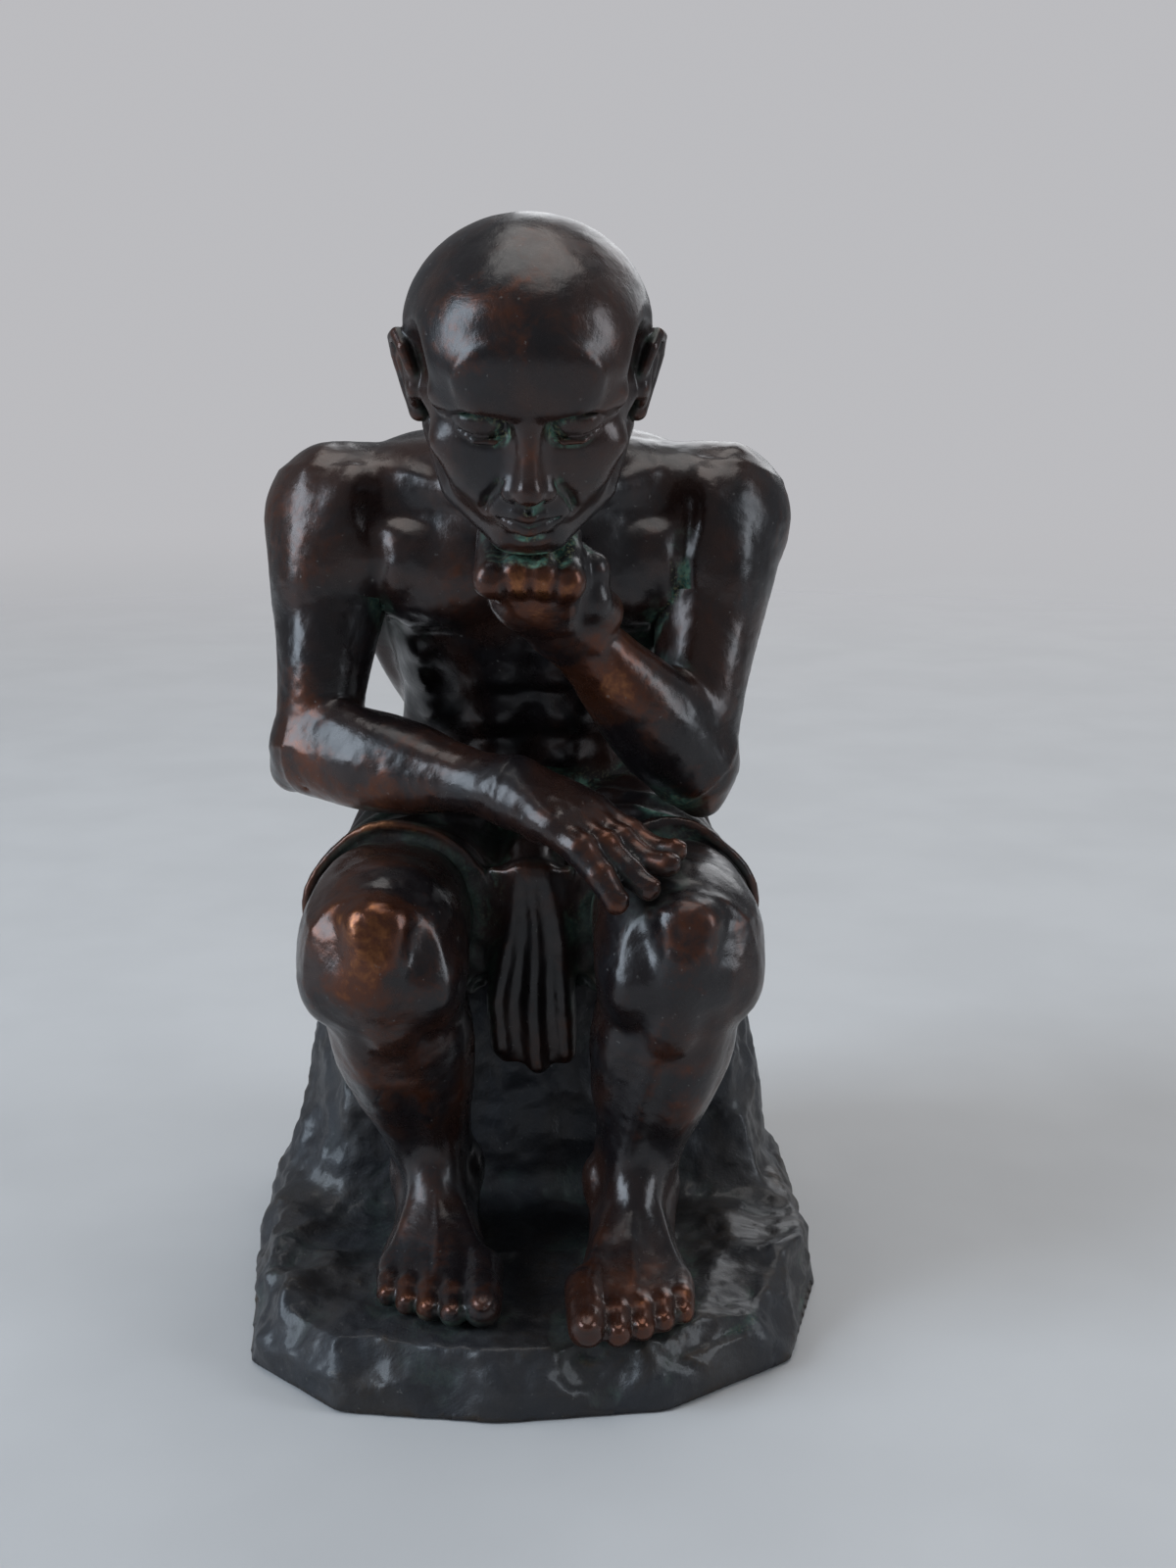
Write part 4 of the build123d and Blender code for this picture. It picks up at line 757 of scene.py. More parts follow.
# share of the foot's length, half width, height
FOOT_ROWS = (
    (-0.25, 0.1, 0.3), (-0.215, 0.4, 0.66), (-0.14, 0.6, 0.92), (0, 0.67, 1.16), (0.18, 0.72, 1.16),
    (0.34, 0.8, 0.94), (0.52, 0.94, 0.68), (0.64, 0.96, 0.52), (0.72, 0.84, 0.36), (0.79, 0.55, 0.2))
FOOT_LENGTH = 29.0
LEG_FORMS = (
    # knee: ends of the thigh's muscles, kneecap, its ligament and the heads of the bones
    (muscle, 1.6, (12.9, -4, 51), (0, -6.2, 1, 3.2), 3.6, 3.4, (-1, 0, 0)),
    (muscle, 1.6, (17.9, -4, 51.5), (0, 5.2, 2, 5), 3.8, 3.4, (1, 0, 0)),
    (egg, 2.2, (0, 0, -5.9, 3.1), 4.6, 3, 4.4, (0, -0.45, 1), (0, -1, 0.5)),
    (egg, -2.6, (0, 5.4, -8.8, 2.6), 1.5, 1.3, 3, (0, 0.5, 1)),
    (egg, -2.6, (0, -5.4, -8.8, 2.2), 1.5, 1.3, 3, (0, 0.5, 1)),
    (rod, 2.2, (0, 0, -7.6, 0.8), (0.24, 0, -7, 0), 2, 1.7),
    (egg, 2, (0.25, 0, -6.9, 0), 2, 1.4, 2.8),
    (egg, 2.6, (0, -5.9, -3, -3.2), 3.2, 4.6, 4.2),
    (egg, 2.4, (0, 6, -1.6, -3.8), 2.6, 3.4, 3.8),
    # shank: shin, calf, tendon, ankle bones
    (rod, 1.6, (0.22, -0.8, -7, 0), (0.92, -1.6, -4.2, 0), 1.2, 0.9),
    (muscle, 1.3, (0.12, 4, -4.6, 0), (0.78, 1.6, -3.4, 0), 3.2, 3.2, (1, -1, 0)),
    (muscle, 1.3, (0.06, -4, 4.4, 0), (0.62, -2.6, 4, 0), 4.2, 4.6, (-1, 1, 0)),
    (muscle, 1.3, (0.04, 4, 4, 0), (0.56, 2.4, 4, 0), 4, 4.4, (1, 1, 0)),
    (muscle, 1.2, (0.35, 4.4, 1, 0), (0.86, 2.4, 1.6, 0), 2.6, 3, (1, 0, 0)),
    (line, 1.5, (2.2, 1.4, 1.9), (0.62, -2.8, 4, 0), (0.86, 0, 5.4, 0), (1, 0, 5.6, -4)),
    (egg, 1.4, (1, -4, -0.4, 0.9), 1.6, 2.1, 2.3),
    (egg, 1.4, (1, 4.3, 0.8, -0.6), 1.4, 1.9, 2.5),
    (egg, -1.4, (1, 4.6, 3.4, 0.4), 1.2, 1.3, 3.2),
    (egg, -1.4, (1, -4.4, 3.4, 0.6), 1.2, 1.3, 3),
)
FOOT_FORMS = (
    (rod, 2.8, (0.84, 0, -2.6, 0), (1, 0, -8.4, -2.2), 2.6),
    (egg, 2, (1, 0, 3, -4.6), 4.3, 4.1, 4.4),
    (egg, -1.4, (1, -8.4, -6, -7.6), 2.2, 6, 2.4),
)
# from the big toe: place across, radius, length, set back
TOES = ((-5.85, 2.35, 5.1, 0), (-2.55, 1.72, 5.3, 0.1), (0.1, 1.6, 4.8, 0.9), (2.55, 1.5, 4.2, 1.9),
        (4.8, 1.45, 3.4, 3.1))


def foot_form(ankle, s):
    """Flat sole, domed instep, arched on the inner side."""
    rows = np.array(FOOT_ROWS, float)
    wide_table = smooth_table(rows[:, 0], rows[:, 1] * 7.3)
    high_table = smooth_table(rows[:, 0], rows[:, 2] * 8.0)

    def distance(x, y, z):
        u = (x - ankle[0]) * s
        t = (ankle[1] - y) / FOOT_LENGTH + 0.13 * np.clip(u / 7.0, -0.1, 1)
        wide, high = np.interp(t, *wide_table), np.interp(t, *high_table)
        crown = np.where(u < 0, high, high * (1 - 0.12 * np.clip(t, 0, 1)))
        side = oval(u + 0.9 * np.clip(t, 0, 0.7), np.maximum(z - SOLE, 0) + 0.0 * u, wide, crown, crown, 2.3)
        return np.maximum(np.maximum(side, SOLE - z), np.maximum(rows[0, 0] - t, t - rows[-1, 0]) * FOOT_LENGTH)
    low = np.array((ankle[0] - 8.5, ankle[1] - 24.0, SOLE - 0.5))
    return low, np.array((ankle[0] + 8.5, ankle[1] + 8.0, SOLE + 10.5)), distance


def leg(s):
    knee, ankle = np.array(KNEE[s]), np.array(ANKLE[s])
    clay = Clay((min(s * 2, s * 30), -44.5, SOLE - 1.5), (max(s * 2, s * 30), -1, 58.5), BODY_STEP * 0.92)
    clay.add(limb((s * HEM_X, HEM_Y + 5, LAP_Z), knee, 9.4, THIGH_ROWS, UP, 2.15))
    clay.add(egg(knee, 9, 8.9, 8.9), 3)
    clay.add(limb(knee, ankle, 8.8, SHANK_ROWS), 3)
    work(clay, LEG_FORMS, s, (knee, ankle))
    clay.add(foot_form(ankle, s), 2.6)
    work(clay, FOOT_FORMS, s, (knee, ankle))
    for k, (across, radius, length, setback) in enumerate(TOES):
        root = np.array((ankle[0] + s * across, ankle[1] - 19 + setback, SOLE + radius * 0.95))
        joint = root + (0, -length * 0.5, 0.55 if k else 0.15)
        tip = root - (0, length, radius * 0.12)
        instep = (ankle[0] + s * across * 0.42, ankle[1] - 8, SOLE + 7.4)
        clay.add(rod(root + (0, 2.4, 0.6), joint, radius * 0.98, radius * 0.92), 0.7)
        clay.add(rod(joint, tip, radius * 0.92, radius * 0.9), 0.4)
        clay.add(rod(root + (0, 1.2, radius * 0.6), instep, 0.7, 0.6), 1.5)
        nail(clay, tip, radius * 0.9, (0, -0.94, -0.34), (0, -0.34, 0.94))
    _, y, z = clay.grid()
    clay.field = np.maximum(clay.field, np.maximum(SOLE - 0.25 - z, y - (HEM_Y + 3)))
    return clay


# ---------------------------------------------------------------- cloth

HIP_Y, HIP_RADIUS = 26.0, 12.2
# folds that run from the knot at the waist out over the thighs: four places (y, degrees round the thigh), radius
LAP_FOLDS = (
    (((12.5, -62), (6, -38), (-1, -14), (-5.6, 14)), 1), (((14, -50), (9.5, -24), (4, 6), (-1, 40)), 1.1),
    (((16.5, -34), (13.5, -6), (9, 30), (4.5, 66)), 1.15), (((19, -16), (18, 14), (15.5, 50), (12, 84)), 1.2),
    (((24, 0), (24.5, 30), (23.5, 62), (21, 94)), 1.15))
# folds down the outer side to the rock: y at the top and at the foot, radius
SIDE_FOLDS = ((28, 31, 1.1), (19, 18, 1), (9.5, 7, 1), (1.5, 0.5, 0.9))
# folds over the back of the hips: x, and how far it slants aside of the fan
BACK_FOLDS = ((-17.5, 0.8), (-12, -0.6), (-6.5, 0.5), (-1, -0.4), (4.5, 0.7), (10, -0.5), (15.5, 0.3))
BACK_HEIGHTS = (55.5, 51.0, 45.0, 38.5)
STRANDS = 34
# ridges of the hanging end: x at the top and at the foot, height of the foot, radius; grooves without the radius
PLEATS = ((-3, -3.7, 31, 1.2), (0.1, 0.7, 28.6, 1.35), (3.1, 4, 30, 1.1))
PLEAT_GROOVES = ((-1.5, -1.7, 27.6), (1.6, 2.4, 27.4))


def lap(s, y, degrees, lift=0.0):
    """A place on the covered thigh: how far along it, how far round it, and how far off it."""
    share = (HIP_Y - y) / 45
    angle = math.radians(degrees)
    radius = LAP_RADIUS * 1.03 + lift
    return np.array((s * (11 + 6 * share + radius * math.sin(angle)), y, LAP_Z + radius * math.cos(angle)))


def on_waist(angle, out=0.0, rise=0.0):
    return ((14.8 + out) * math.cos(angle), 23.7 + (10.8 + out) * math.sin(angle), 55.8 + 0.7 * math.sin(angle) + rise)


def skirt():
    clay = Clay((-30, -14, 26), (30, 41, 62), BODY_STEP)
    thigh = ((0, 1.08, 1.12, 1), (0.35, 1.05, 1.04, 1), (0.7, 0.99, 0.99, 1), (1, 1.02, 1.03, 1.02))
    for s in (1, -1):
        clay.add(limb((s * 11, HIP_Y, LAP_Z), (s * HEM_X, HEM_Y, LAP_Z), LAP_RADIUS, thigh, UP, 2.2), 2)
    clay.add(rod((-11, HIP_Y, LAP_Z), (11, HIP_Y, LAP_Z), HIP_RADIUS), 2)
    clay.add(egg((0, 12, 45), 11, 20, 8), 3)
    # the cloth between the thighs, with slack folds in front
    x, y, z = clay.grid()
    slack = z - 0.040 * x * x
    front = HEM_Y + 1.3 - 0.9 * np.cos(slack * 1.45) + 0.3 * np.sin(slack * 0.6 + x * 0.35)
    foot = SEAT_Z + 0.3 + 0.35 * np.sin(x * 1.1)
    web = np.maximum(np.maximum(np.abs(x) - 12.0, z - 51.0 - 0.03 * (y - HEM_Y)),
                     np.maximum(np.maximum((front - y) * 0.7, foot - z), y - HIP_Y))
    clay.field = joined(clay.field, web, 3).astype(np.float32)
    for s in (1, -1):
        shift, turn = (0.6, 3) if s > 0 else (0, -3)
        for places, radius in LAP_FOLDS:
            fold = [lap(s, y0 + shift, d0 + turn, lift) for (y0, d0), lift in zip(places, (-0.2, -0.1, -0.3, -0.9))]
            clay.tube(fold, [radius * r for r in (0.6, 1.1, 1.1, 0.6)], 1.6)
            valley = [lap(s, y0 - 2.5 + shift, d0 + turn, 1.25) for y0, d0 in places[2:]]
            clay.tube(valley, (radius * 0.5, radius * 0.3), 2.8, cut=True)
        # rolled hem with a slight wave
        clay.tube([lap(s, HEM_Y + 0.4 + 0.55 * math.sin(d0 / 15 + s), d0, 0.15 * math.sin(d0 / 9))
                   for d0 in range(-84, 150, 4)], 0.62, 0.5)
        clay.tube([lap(s, HEM_Y + 2.2 + 0.5 * math.sin(d0 / 18 + s), d0, 0.75)
                   for d0 in range(-70, 150, 5)], 0.25, 1, cut=True)
        for y0, y1, radius in SIDE_FOLDS:
            clay.tube([lap(s, y0, 82, -0.3), lap(s, (y0 + y1) / 2, 108), lap(s, y1, 138, 0.4)],
                      (radius * 0.6, radius, radius * 0.9), 1.2)
    for x0, slant in BACK_FOLDS:
        lean = 0.16 * x0 + slant
        drawn = 0.22 * max(abs(x0) - 11, 0) ** 1.6
        back = [HIP_Y + math.sqrt(max(HIP_RADIUS ** 2 - (z0 - LAP_Z) ** 2, 0)) - drawn for z0 in BACK_HEIGHTS]
        across = (x0 * 0.86, x0 + lean * 0.2, x0 + lean * 0.7, x0 + lean)
        depths = (y0 - inset for y0, inset in zip(back, (0.5, 0.3, 0.3, 0.2)))
        clay.tube(list(zip(across, depths, BACK_HEIGHTS)), (0.5, 1, 1.2, 1), 1.8)
    # rolled waist, twisted
    clay.tube([on_waist(2 * math.pi * k / 60) for k in range(61)], 2.7, 1)
    for k in range(STRANDS):
        clay.tube([on_waist(2 * math.pi * k / STRANDS + turn, out, rise) for turn, out, rise in
                   ((0, -1.2, 2), (0.07, 0.5, 2.5), (0.14, 1.9, 1.5), (0.2, 2.4, -0.2))], (0.4, 0.6, 0.6, 0.4), 0.7)
    # knot, and the end of the cloth over the lap and down between the knees
    clay.add(egg((0.6, 11.2, 55.2), 4, 2.8, 3.2, (0.3, 0, 1)), 1)
    clay.cut(rod((-2.6, 8, 57.4), (3.6, 7.6, 53.6), 0.35), 1.2)
    clay.tube([(0.6, 9, 54), (0.2, 3, 52.4), (0, -3, 52.2), (0, -6.8, 51)], (2.2, 2.6, 2.9, 2.9), 2)
    drop = ((0, 4.6, 1.6, 1.5), (0.4, 4.8, 1.5, 1.5), (0.75, 5, 1.5, 1.4), (0.93, 4.6, 1.2, 1.2), (1, 3.9, 0.9, 0.9))
    clay.add(limb((0, -7.8, 52.6), (0.3, -8.3, 28.8), 1, drop, FRONT, 2.2), 1.2)
    for x0, x1, z1, radius in PLEATS:
        clay.tube([(x0 * 0.5, -8.8, 52.5), (x0 * 0.8 + 0.4, -9, 46), (x1 - 0.5, -9.2, 37), (x1, -8.9, z1)],
                  (radius * 0.7, radius, radius, radius * 0.9), 1.5)
    for x0, x1, z1 in PLEAT_GROOVES:
        clay.tube([(x0 * 0.6, -10.7, 51), (x0 + 0.4, -10.9, 44), (x1 - 0.4, -10.8, 35), (x1, -10.3, z1)],
                  (0.2, 0.55, 0.6, 0.5), 1.2, cut=True)
    clay.field = np.maximum(clay.field, np.where(y > HEM_Y + 1, SEAT_Z - 0.2 - z, 26.5 - z)).astype(np.float32)
    clay.cut(column([(49.5, 24.4, 12.6, 8.6, 7.8), (70, 24.4, 12.6, 8.6, 7.8)]), 0.5)
    return clay


# ---------------------------------------------------------------- rock

PLINTH = np.array([(-21.7, -39.1), (-4.2, -42), (14.7, -39.9), (29.4, -29.4), (35, -9.2), (33.6, 17.6),
                   (28, 37.8), (7, 42), (-17.5, 40.7), (-32.6, 29.4), (-35, -2.1), (-32.6, -27.7)])
ROCK_FOOT = np.array([(-25.9, -1.7), (-5.6, -4.2), (15.4, -1.3), (30.1, 0.8), (32.9, 16.8), (29.4, 35.3),
                      (7.7, 39.9), (-15.4, 39.5), (-31.5, 31.1), (-33.2, 9.2)])
ROCK_WAIST = np.array([(-24.5, 1.7), (-7, -1.7), (14, 2.1), (26.6, 3.4), (30.1, 17.6), (25.9, 35.3),
                       (9.1, 38.2), (-14, 38.6), (-28, 28.6), (-29.8, 12.6)])
ROCK_SEAT = np.array([(-21.7, 5), (-6.3, 2.5), (10.5, 4.2), (23.8, 5.5), (27.3, 17.6), (23.8, 33.6),
                      (8.4, 37), (-10.5, 36.5), (-24.5, 31.1), (-26.6, 16.8)])
FOOT_Z, WAIST_Z, TOP_Z = 6.5, 21.75, 37.0
RIM, RECESS = 5.0, 5.0
# facets off the block's edges: corner, depth at the foot and at the top, turn
CHIPS = ((0, 1.75, -1.05, 0.12), (1, -1.2, 1.9, -0.1), (2, 1.75, -1.4, 0.1), (3, -1.05, 1.9, -0.14),
         (4, 1.9, -0.7, 0.1), (5, -1.4, 1.9, 0.12), (6, 1.6, -1.05, -0.1), (7, -1.05, 1.75, 0.12),
         (8, 1.9, -0.35, -0.1), (9, -1.2, 1.9, 0.12))
# boulders: middle, half length, half width, rise, turn in degrees
BOULDERS = ((-26.25, -17.64, 11.9, 5.95, 5.76, 84), (27.65, -10.08, 11.9, 5.25, 4.16, 96),
            (24.5, -27.7, 5.95, 4.2, 2.4, 62))
BOULDER_CORNERS = np.array([(1, 0.15), (0.5, 0.95), (-0.45, 1), (-1, 0.1), (-0.6, -0.9), (0.45, -1)])
CRACKS = (
    ((-31, 4, 12), (-29, 8, 22), (-27, 13, 33)),
    ((31.8, 6, 10), (29.6, 12, 20), (28.2, 22, 30)),
    ((-26, 0.4, 19), (-12, -1.4, 15.5), (3, -0.4, 18.5), (15, 1.6, 15), (28, 4, 19)),
    ((-14, 39.4, 8), (-9, 38.8, 20), (-14, 37.4, 34)),
    ((28, 34.6, 14), (12, 39.2, 17), (-6, 39.4, 14), (-24, 35.4, 18)),
)


def drawn_in(corners, inset):
    middle = corners.mean(0)
    reach = np.linalg.norm(corners - middle, axis=1)[:, None]
    return middle + (corners - middle) * (reach - inset) / reach


def chip_plane(corner, foot_depth, top_depth, turn):
    foot = np.append(drawn_in(ROCK_FOOT, foot_depth)[corner], FOOT_Z)
    top = np.append(drawn_in(ROCK_SEAT, top_depth)[corner], TOP_Z)
    along = unit(np.append(ROCK_FOOT[(corner + 1) % 10] - ROCK_FOOT[corner - 1], 0))
    return foot, unit(np.cross(along + np.cross(along, UP) * turn, top - foot))


def boulder(x0, y0, length, width, rise, turn):
    c, s = math.cos(math.radians(turn)), math.sin(math.radians(turn))
    shape = BOULDER_CORNERS * (length, width) @ np.array(((c, s), (-s, c)))
    return stack([(SOLE + rise * k, shape * girth + (x0, y0)) for girth, k in ((1, -0.3), (0.92, 0.35), (0.5, 1))])


def soften(clay, reach):
    """Rounds every edge of a field over that reach."""
    field = np.minimum(clay.field, 6.0)
    for _ in range(max(1, round(2 * (reach / clay.step) ** 2))):
        for axis in range(3):
            field = (np.roll(field, -1, axis) + np.roll(field, 1, axis) + 2 * field) / 4
    clay.field = field.astype(np.float32)


def strike(clay, draw, spots):
    """Hollows struck by the chisel: place, way out, radius and depth."""
    for place, out, radius, depth in spots:
        out = unit(out + draw.normal(0, 0.12, 3))
        squash = draw.uniform(0.6, 1.0)
        clay.cut(egg(place + out * (radius - depth), radius * squash, radius, radius, out, (0.3, 0.5, 1)), 0.5)


def side_out(a, b, rise):
    """Way out of a block's side from corner a to corner b."""
    return np.cross(unit(np.append(b - a, 0)), UP) + (0, 0, rise)


def rock():
    clay, slab = (Clay((-37, -44, -2), (37, 44, 40), ROCK_STEP) for _ in range(2))
    draw = np.random.default_rng(8)
    clay.add(stack([(FOOT_Z - 4, ROCK_FOOT), (FOOT_Z, ROCK_FOOT), (WAIST_Z, ROCK_WAIST), (TOP_Z + 1, ROCK_SEAT)]))
    for row in CHIPS:
        clay.field = np.maximum(clay.field, beyond(clay, chip_plane(*row)).astype(np.float32))
    spots = []
    for _ in range(130):
        height = draw.uniform(9, 37)
        k, t = draw.integers(10), draw.uniform(0.05, 0.95)
        ring = np.array([[np.interp(height, (FOOT_Z, WAIST_Z, TOP_Z), (a[c], b[c], d[c])) for c in (0, 1)]
                         for a, b, d in zip(ROCK_FOOT, ROCK_WAIST, ROCK_SEAT)])
        a, b = ring[k], ring[(k + 1) % 10]
        place = np.append(between(a, b, t), height)
        spots.append((place, side_out(a, b, 0.15), draw.uniform(6, 14), draw.uniform(0.4, 1.35)))
    strike(clay, draw, spots)
    for points in CRACKS:
        clay.tube(points, 0.7, 1.4, cut=True)
    slab.add(stack([(-1, drawn_in(PLINTH, 0.6)), (4, PLINTH), (SOLE, drawn_in(PLINTH, 2.5))]))
    for row in BOULDERS:
        slab.add(boulder(*row), 1.6)
    spots = []
    for _ in range(52):
        k, t = draw.integers(12), draw.uniform(0, 1)
        a, b = PLINTH[k], PLINTH[(k + 1) % 12]
        out = side_out(a, b, draw.uniform(0.1, 1.3))
        place = np.append(between(a, b, t), draw.uniform(2.5, 6.5))
        spots.append((place, out, draw.uniform(6, 12), draw.uniform(0.3, 0.9)))
    for _ in range(40):
        place = np.array((draw.uniform(-30, 30), draw.uniform(-38, 0), SOLE))
        spots.append((place, np.array(UP), draw.uniform(10, 18), draw.uniform(0.2, 0.5)))
    strike(slab, draw, spots)
    clay.field = joined(clay.field, slab.field, 3).astype(np.float32)
    soften(clay, 0.55)
    z = clay.grid()[2]
    clay.field = np.maximum(clay.field, np.maximum(0.0 - z, z - SEAT_Z)).astype(np.float32)
    clay.cut(stack([(-3, drawn_in(PLINTH, RIM)), (RECESS, drawn_in(PLINTH, RIM))]), 0)
    return clay


# ---------------------------------------------------------------- from clay to meshes of the pieces

def labelled(clay, rule):
    """0 outside the field, and what the rule says inside."""
    return np.where(clay.field < 0, rule, 0).astype(np.int8)


def segment_gap(clay, a, b):
    return rod(a, b, 0.0)[2](*clay.grid())


fields, parts = {}, {}

clay, bare_trunk = trunk()
fields["trunk"] = clay
x, y, z = clay.grid()
rule = np.ones(clay.field.shape, np.int8)
for s in (1, -1):
    past = (beyond(clay, SHOULDER_SEAM[s]) > 0) & (bare_trunk > 0.25) & (x * s > 12)
    rule[past & (segment_gap(clay, SHOULDER[s], ELBOW[s]) < 11.0)] = 2
rule[(beyond(clay, NECK_SEAM) > 0) & (z > 92) & (np.abs(x) < 14) & (y < 9)] = 3
parts["torso"] = skin(clay, labelled(clay, rule), (SHOULDER_SEAM[1], SHOULDER_SEAM[-1], NECK_SEAM))[1]

for s, side in ((1, "left"), (-1, "right")):
    clay = fields[side + "_arm"] = arm(s)
    lower = segment_gap(clay, ELBOW[s], WRIST[s]) < segment_gap(clay, SHOULDER[s], ELBOW[s]) - 0.4
    if s < 0:
        lower |= beyond(clay, (WRIST[s], unit(np.subtract(WRIST[s], ELBOW[s])))) > -4
    past_elbow = (beyond(clay, ELBOW_SEAM[s]) > 0) & lower
    before = (beyond(clay, SHOULDER_SEAM[s]) < 0) & ~lower
    rule = np.where(past_elbow, 2, np.where(before, 3, 1))
    made = skin(clay, labelled(clay, rule), (SHOULDER_SEAM[s], ELBOW_SEAM[s]))
    parts[side + "_upper_arm"], parts[side + "_forearm"] = made[1], made[2]

clay = fields["head"] = head()
rule = np.where(beyond(clay, NECK_SEAM) > 0, 1, 2)
parts["head"] = skin(clay, labelled(clay, rule), (NECK_SEAM,))[1]

for name, clay in (("left_leg", leg(1)), ("right_leg", leg(-1)), ("skirt", skirt()), ("rock_base", rock())):
    fields[name] = clay
    parts[name] = skin(clay, labelled(clay, np.int8(1)))[1]

# the whole statuette's field, for what lies near a surface
whole = Clay((-38, -45, -2), (38, 45, 130), WHOLE_STEP)
grid = np.stack(np.meshgrid(*whole.axes, indexing="ij"), -1).reshape(-1, 3)
nearest = np.full(len(grid), FAR, np.float32)
for clay in fields.values():
    inside = np.all((grid >= clay.low) & (grid <= [a[-1] for a in clay.axes]), axis=1)
    nearest[inside] = np.minimum(nearest[inside], clay.at(grid[inside]))
whole.field = np.minimum(nearest, 12.0).reshape(whole.field.shape)

# height of the cast relief at three sizes
RELIEF = {"rock_base": (0.60, 0.40, 0.16), "skirt": (0.10, 0.06, 0.035)}
BODY_RELIEF = (0.10, 0.07, 0.035)
# places that hands and cloths have rubbed most: centre, radius, strength
RUBBED = (
    ((0, -22, 123), 8, 0.3), ((-5, -29, 116), 7, 0.75), ((5, -30, 113), 4, 0.3), ((31, 10, 88), 9, 0.6),
    ((-31, 9, 88), 8, 0.7), ((0, -19, 88), 5, 0.6), ((1, -18, 84), 5, 0.85), ((8, -7, 76), 8, 0.75),
    ((17, -27, 50), 8, 0.7), ((-17, -27, 50), 9, 0.85), ((10, -21, 60), 6, 0.55), ((-27, 2, 62), 8, 0.55),
    ((20, -2, 58), 7, 0.5), ((0, 26, 96), 9, 0.45), ((14, 26, 88), 9, 0.4), ((11.5, -34, 12), 8, 0.4),
    ((-11.5, -29, 12), 8, 0.45), ((-14, -5, 64), 8, 0.5), ((34, 8, 5), 6, 1), ((-16, 27, 84), 9, 0.4),
    ((0, 36, 46), 11, 0.35), ((-15, -22, 30), 8, 0.55), ((15, -24, 30), 8, 0.5), ((24, 2, 66), 7, 0.5),
    ((-28, 2, 74), 8, 0.5), ((9, -2, 86), 6, 0.35), ((-9, -2, 86), 6, 0.35), ((24, 26, 40), 9, 0.3),
    ((-24, 24, 40), 9, 0.3))
# places where green has set in
STAINED = (
    ((0, -19, 94), 4, 1), ((5, -15, 90), 4, 0.8), ((11, 3, 99), 6, 1.3), ((16, 4, 87), 6, 1.3),
    ((-12, 2, 98), 4, 0.5), ((-15, 6, 86), 5, 0.5), ((4, -16, 60), 5, 0.9), ((16, -3, 60), 4, 0.6),
    ((0, -27, 103), 5, 1), ((0, -8, 50), 5, 0.6), ((-11, -14, 12), 6, 0.3), ((11, -18, 12), 6, 0.3),
    ((30, -24, 5), 9, 0.6), ((0, 8, 56), 6, 0.5), ((0, 20, 60), 12, 0.4))
LAYERS = ("hollow", "ridge", "thin", "wear", "stain")


def near_spots(points, spots):
    return sum(strength * np.exp(-((points - np.array(centre)) ** 2).sum(1) / radius ** 2)
               for centre, radius, strength in spots)


def finish_part(name, part):
    """Adds the cast relief, and works out what is hollow, what is proud and where the seams are."""
    p, clay, outer, quads, shown = (part[key] for key in ("points", "clay", "outer", "quads", "shown"))
    n = np.zeros_like(p)
    n[outer] = clay.slope(p[outer])
    big, middle, small = RELIEF.get(name, BODY_RELIEF)
    lift = fractal(p, 9.0, 2, 3.0) * big + fractal(p, 3.2, 2, 5.0) * middle + noise(p, 0.9, 9.0) * small
    if name == "rock_base":
        lift -= 0.35
        lift *= np.clip(p[:, 2] / 1.6, 0, 1)
        lift = np.where(p[:, 2] > SEAT_Z - 0.3, np.minimum(lift, 0), lift)
        recess = (p[:, 2] < RECESS + 0.4) & ((p[:, 0] / 31.0) ** 4 + (p[:, 1] / 38.0) ** 4 < 1)
        n[(p[:, 2] < 0.5) | recess] = 0
    if name == "head":
        lift *= 0.45
    p = p + n * lift[:, None]
    if name == "rock_base":
        p = np.clip(p, (-34.98, -41.98, 0.0), (34.98, 41.98, SEAT_Z + 1.0))

    area = np.cross(p[quads[:, 2]] - p[quads[:, 0]], p[quads[:, 3]] - p[quads[:, 1]])

    def normals_of(rows):
        return sum(spread_sum(len(p), quads[rows][:, k], area[rows]) for k in range(4))
    normals = normals_of(shown)
    normals[~outer] = normals_of(~shown)[~outer]
    normals /= np.maximum(np.linalg.norm(normals, axis=1), 1e-9)[:, None]
    # at a seam the outer quads are missing on one side, so the field's slope takes over there
    rim = np.zeros(len(p), bool)
    rim[np.unique(quads[~shown])] = True
    rim &= outer
    normals[rim] = clay.slope(p[rim])

    edge = edges_of(quads[shown])
    mean = averager(len(p), np.concatenate((edge, edge[:, ::-1])))
    smooth = p.copy()
    for _ in range(int(np.clip(round(1.6 / clay.step ** 2), 2, 16))):
        smooth += (mean(smooth) - smooth) * 0.8
    thin = sum(np.clip(whole.at(p - normals * reach) / reach + 1, 0, 1) / 2 for reach in (1.6, 3.4))
    # hollow: how closed in each point is by surfaces near it along its normal; the material uses it to paint shade
    # into the hollows and to place the green and powder there
    hollow = sum(weight * (1 - np.clip(whole.at(p + normals * reach), 0, reach) / reach)
                 for reach, weight in ((0.9, 0.30), (2.2, 0.35), (5.0, 0.35)))
    part.update(points=p, normals=normals, hollow=hollow, ridge=((p - smooth) * normals).sum(1), thin=thin,
                wear=near_spots(p, RUBBED), stain=near_spots(p, STAINED))


def add_object(name, data):
    obj = bpy.data.objects.new(name, data)
    bpy.context.scene.collection.objects.link(obj)
    return obj


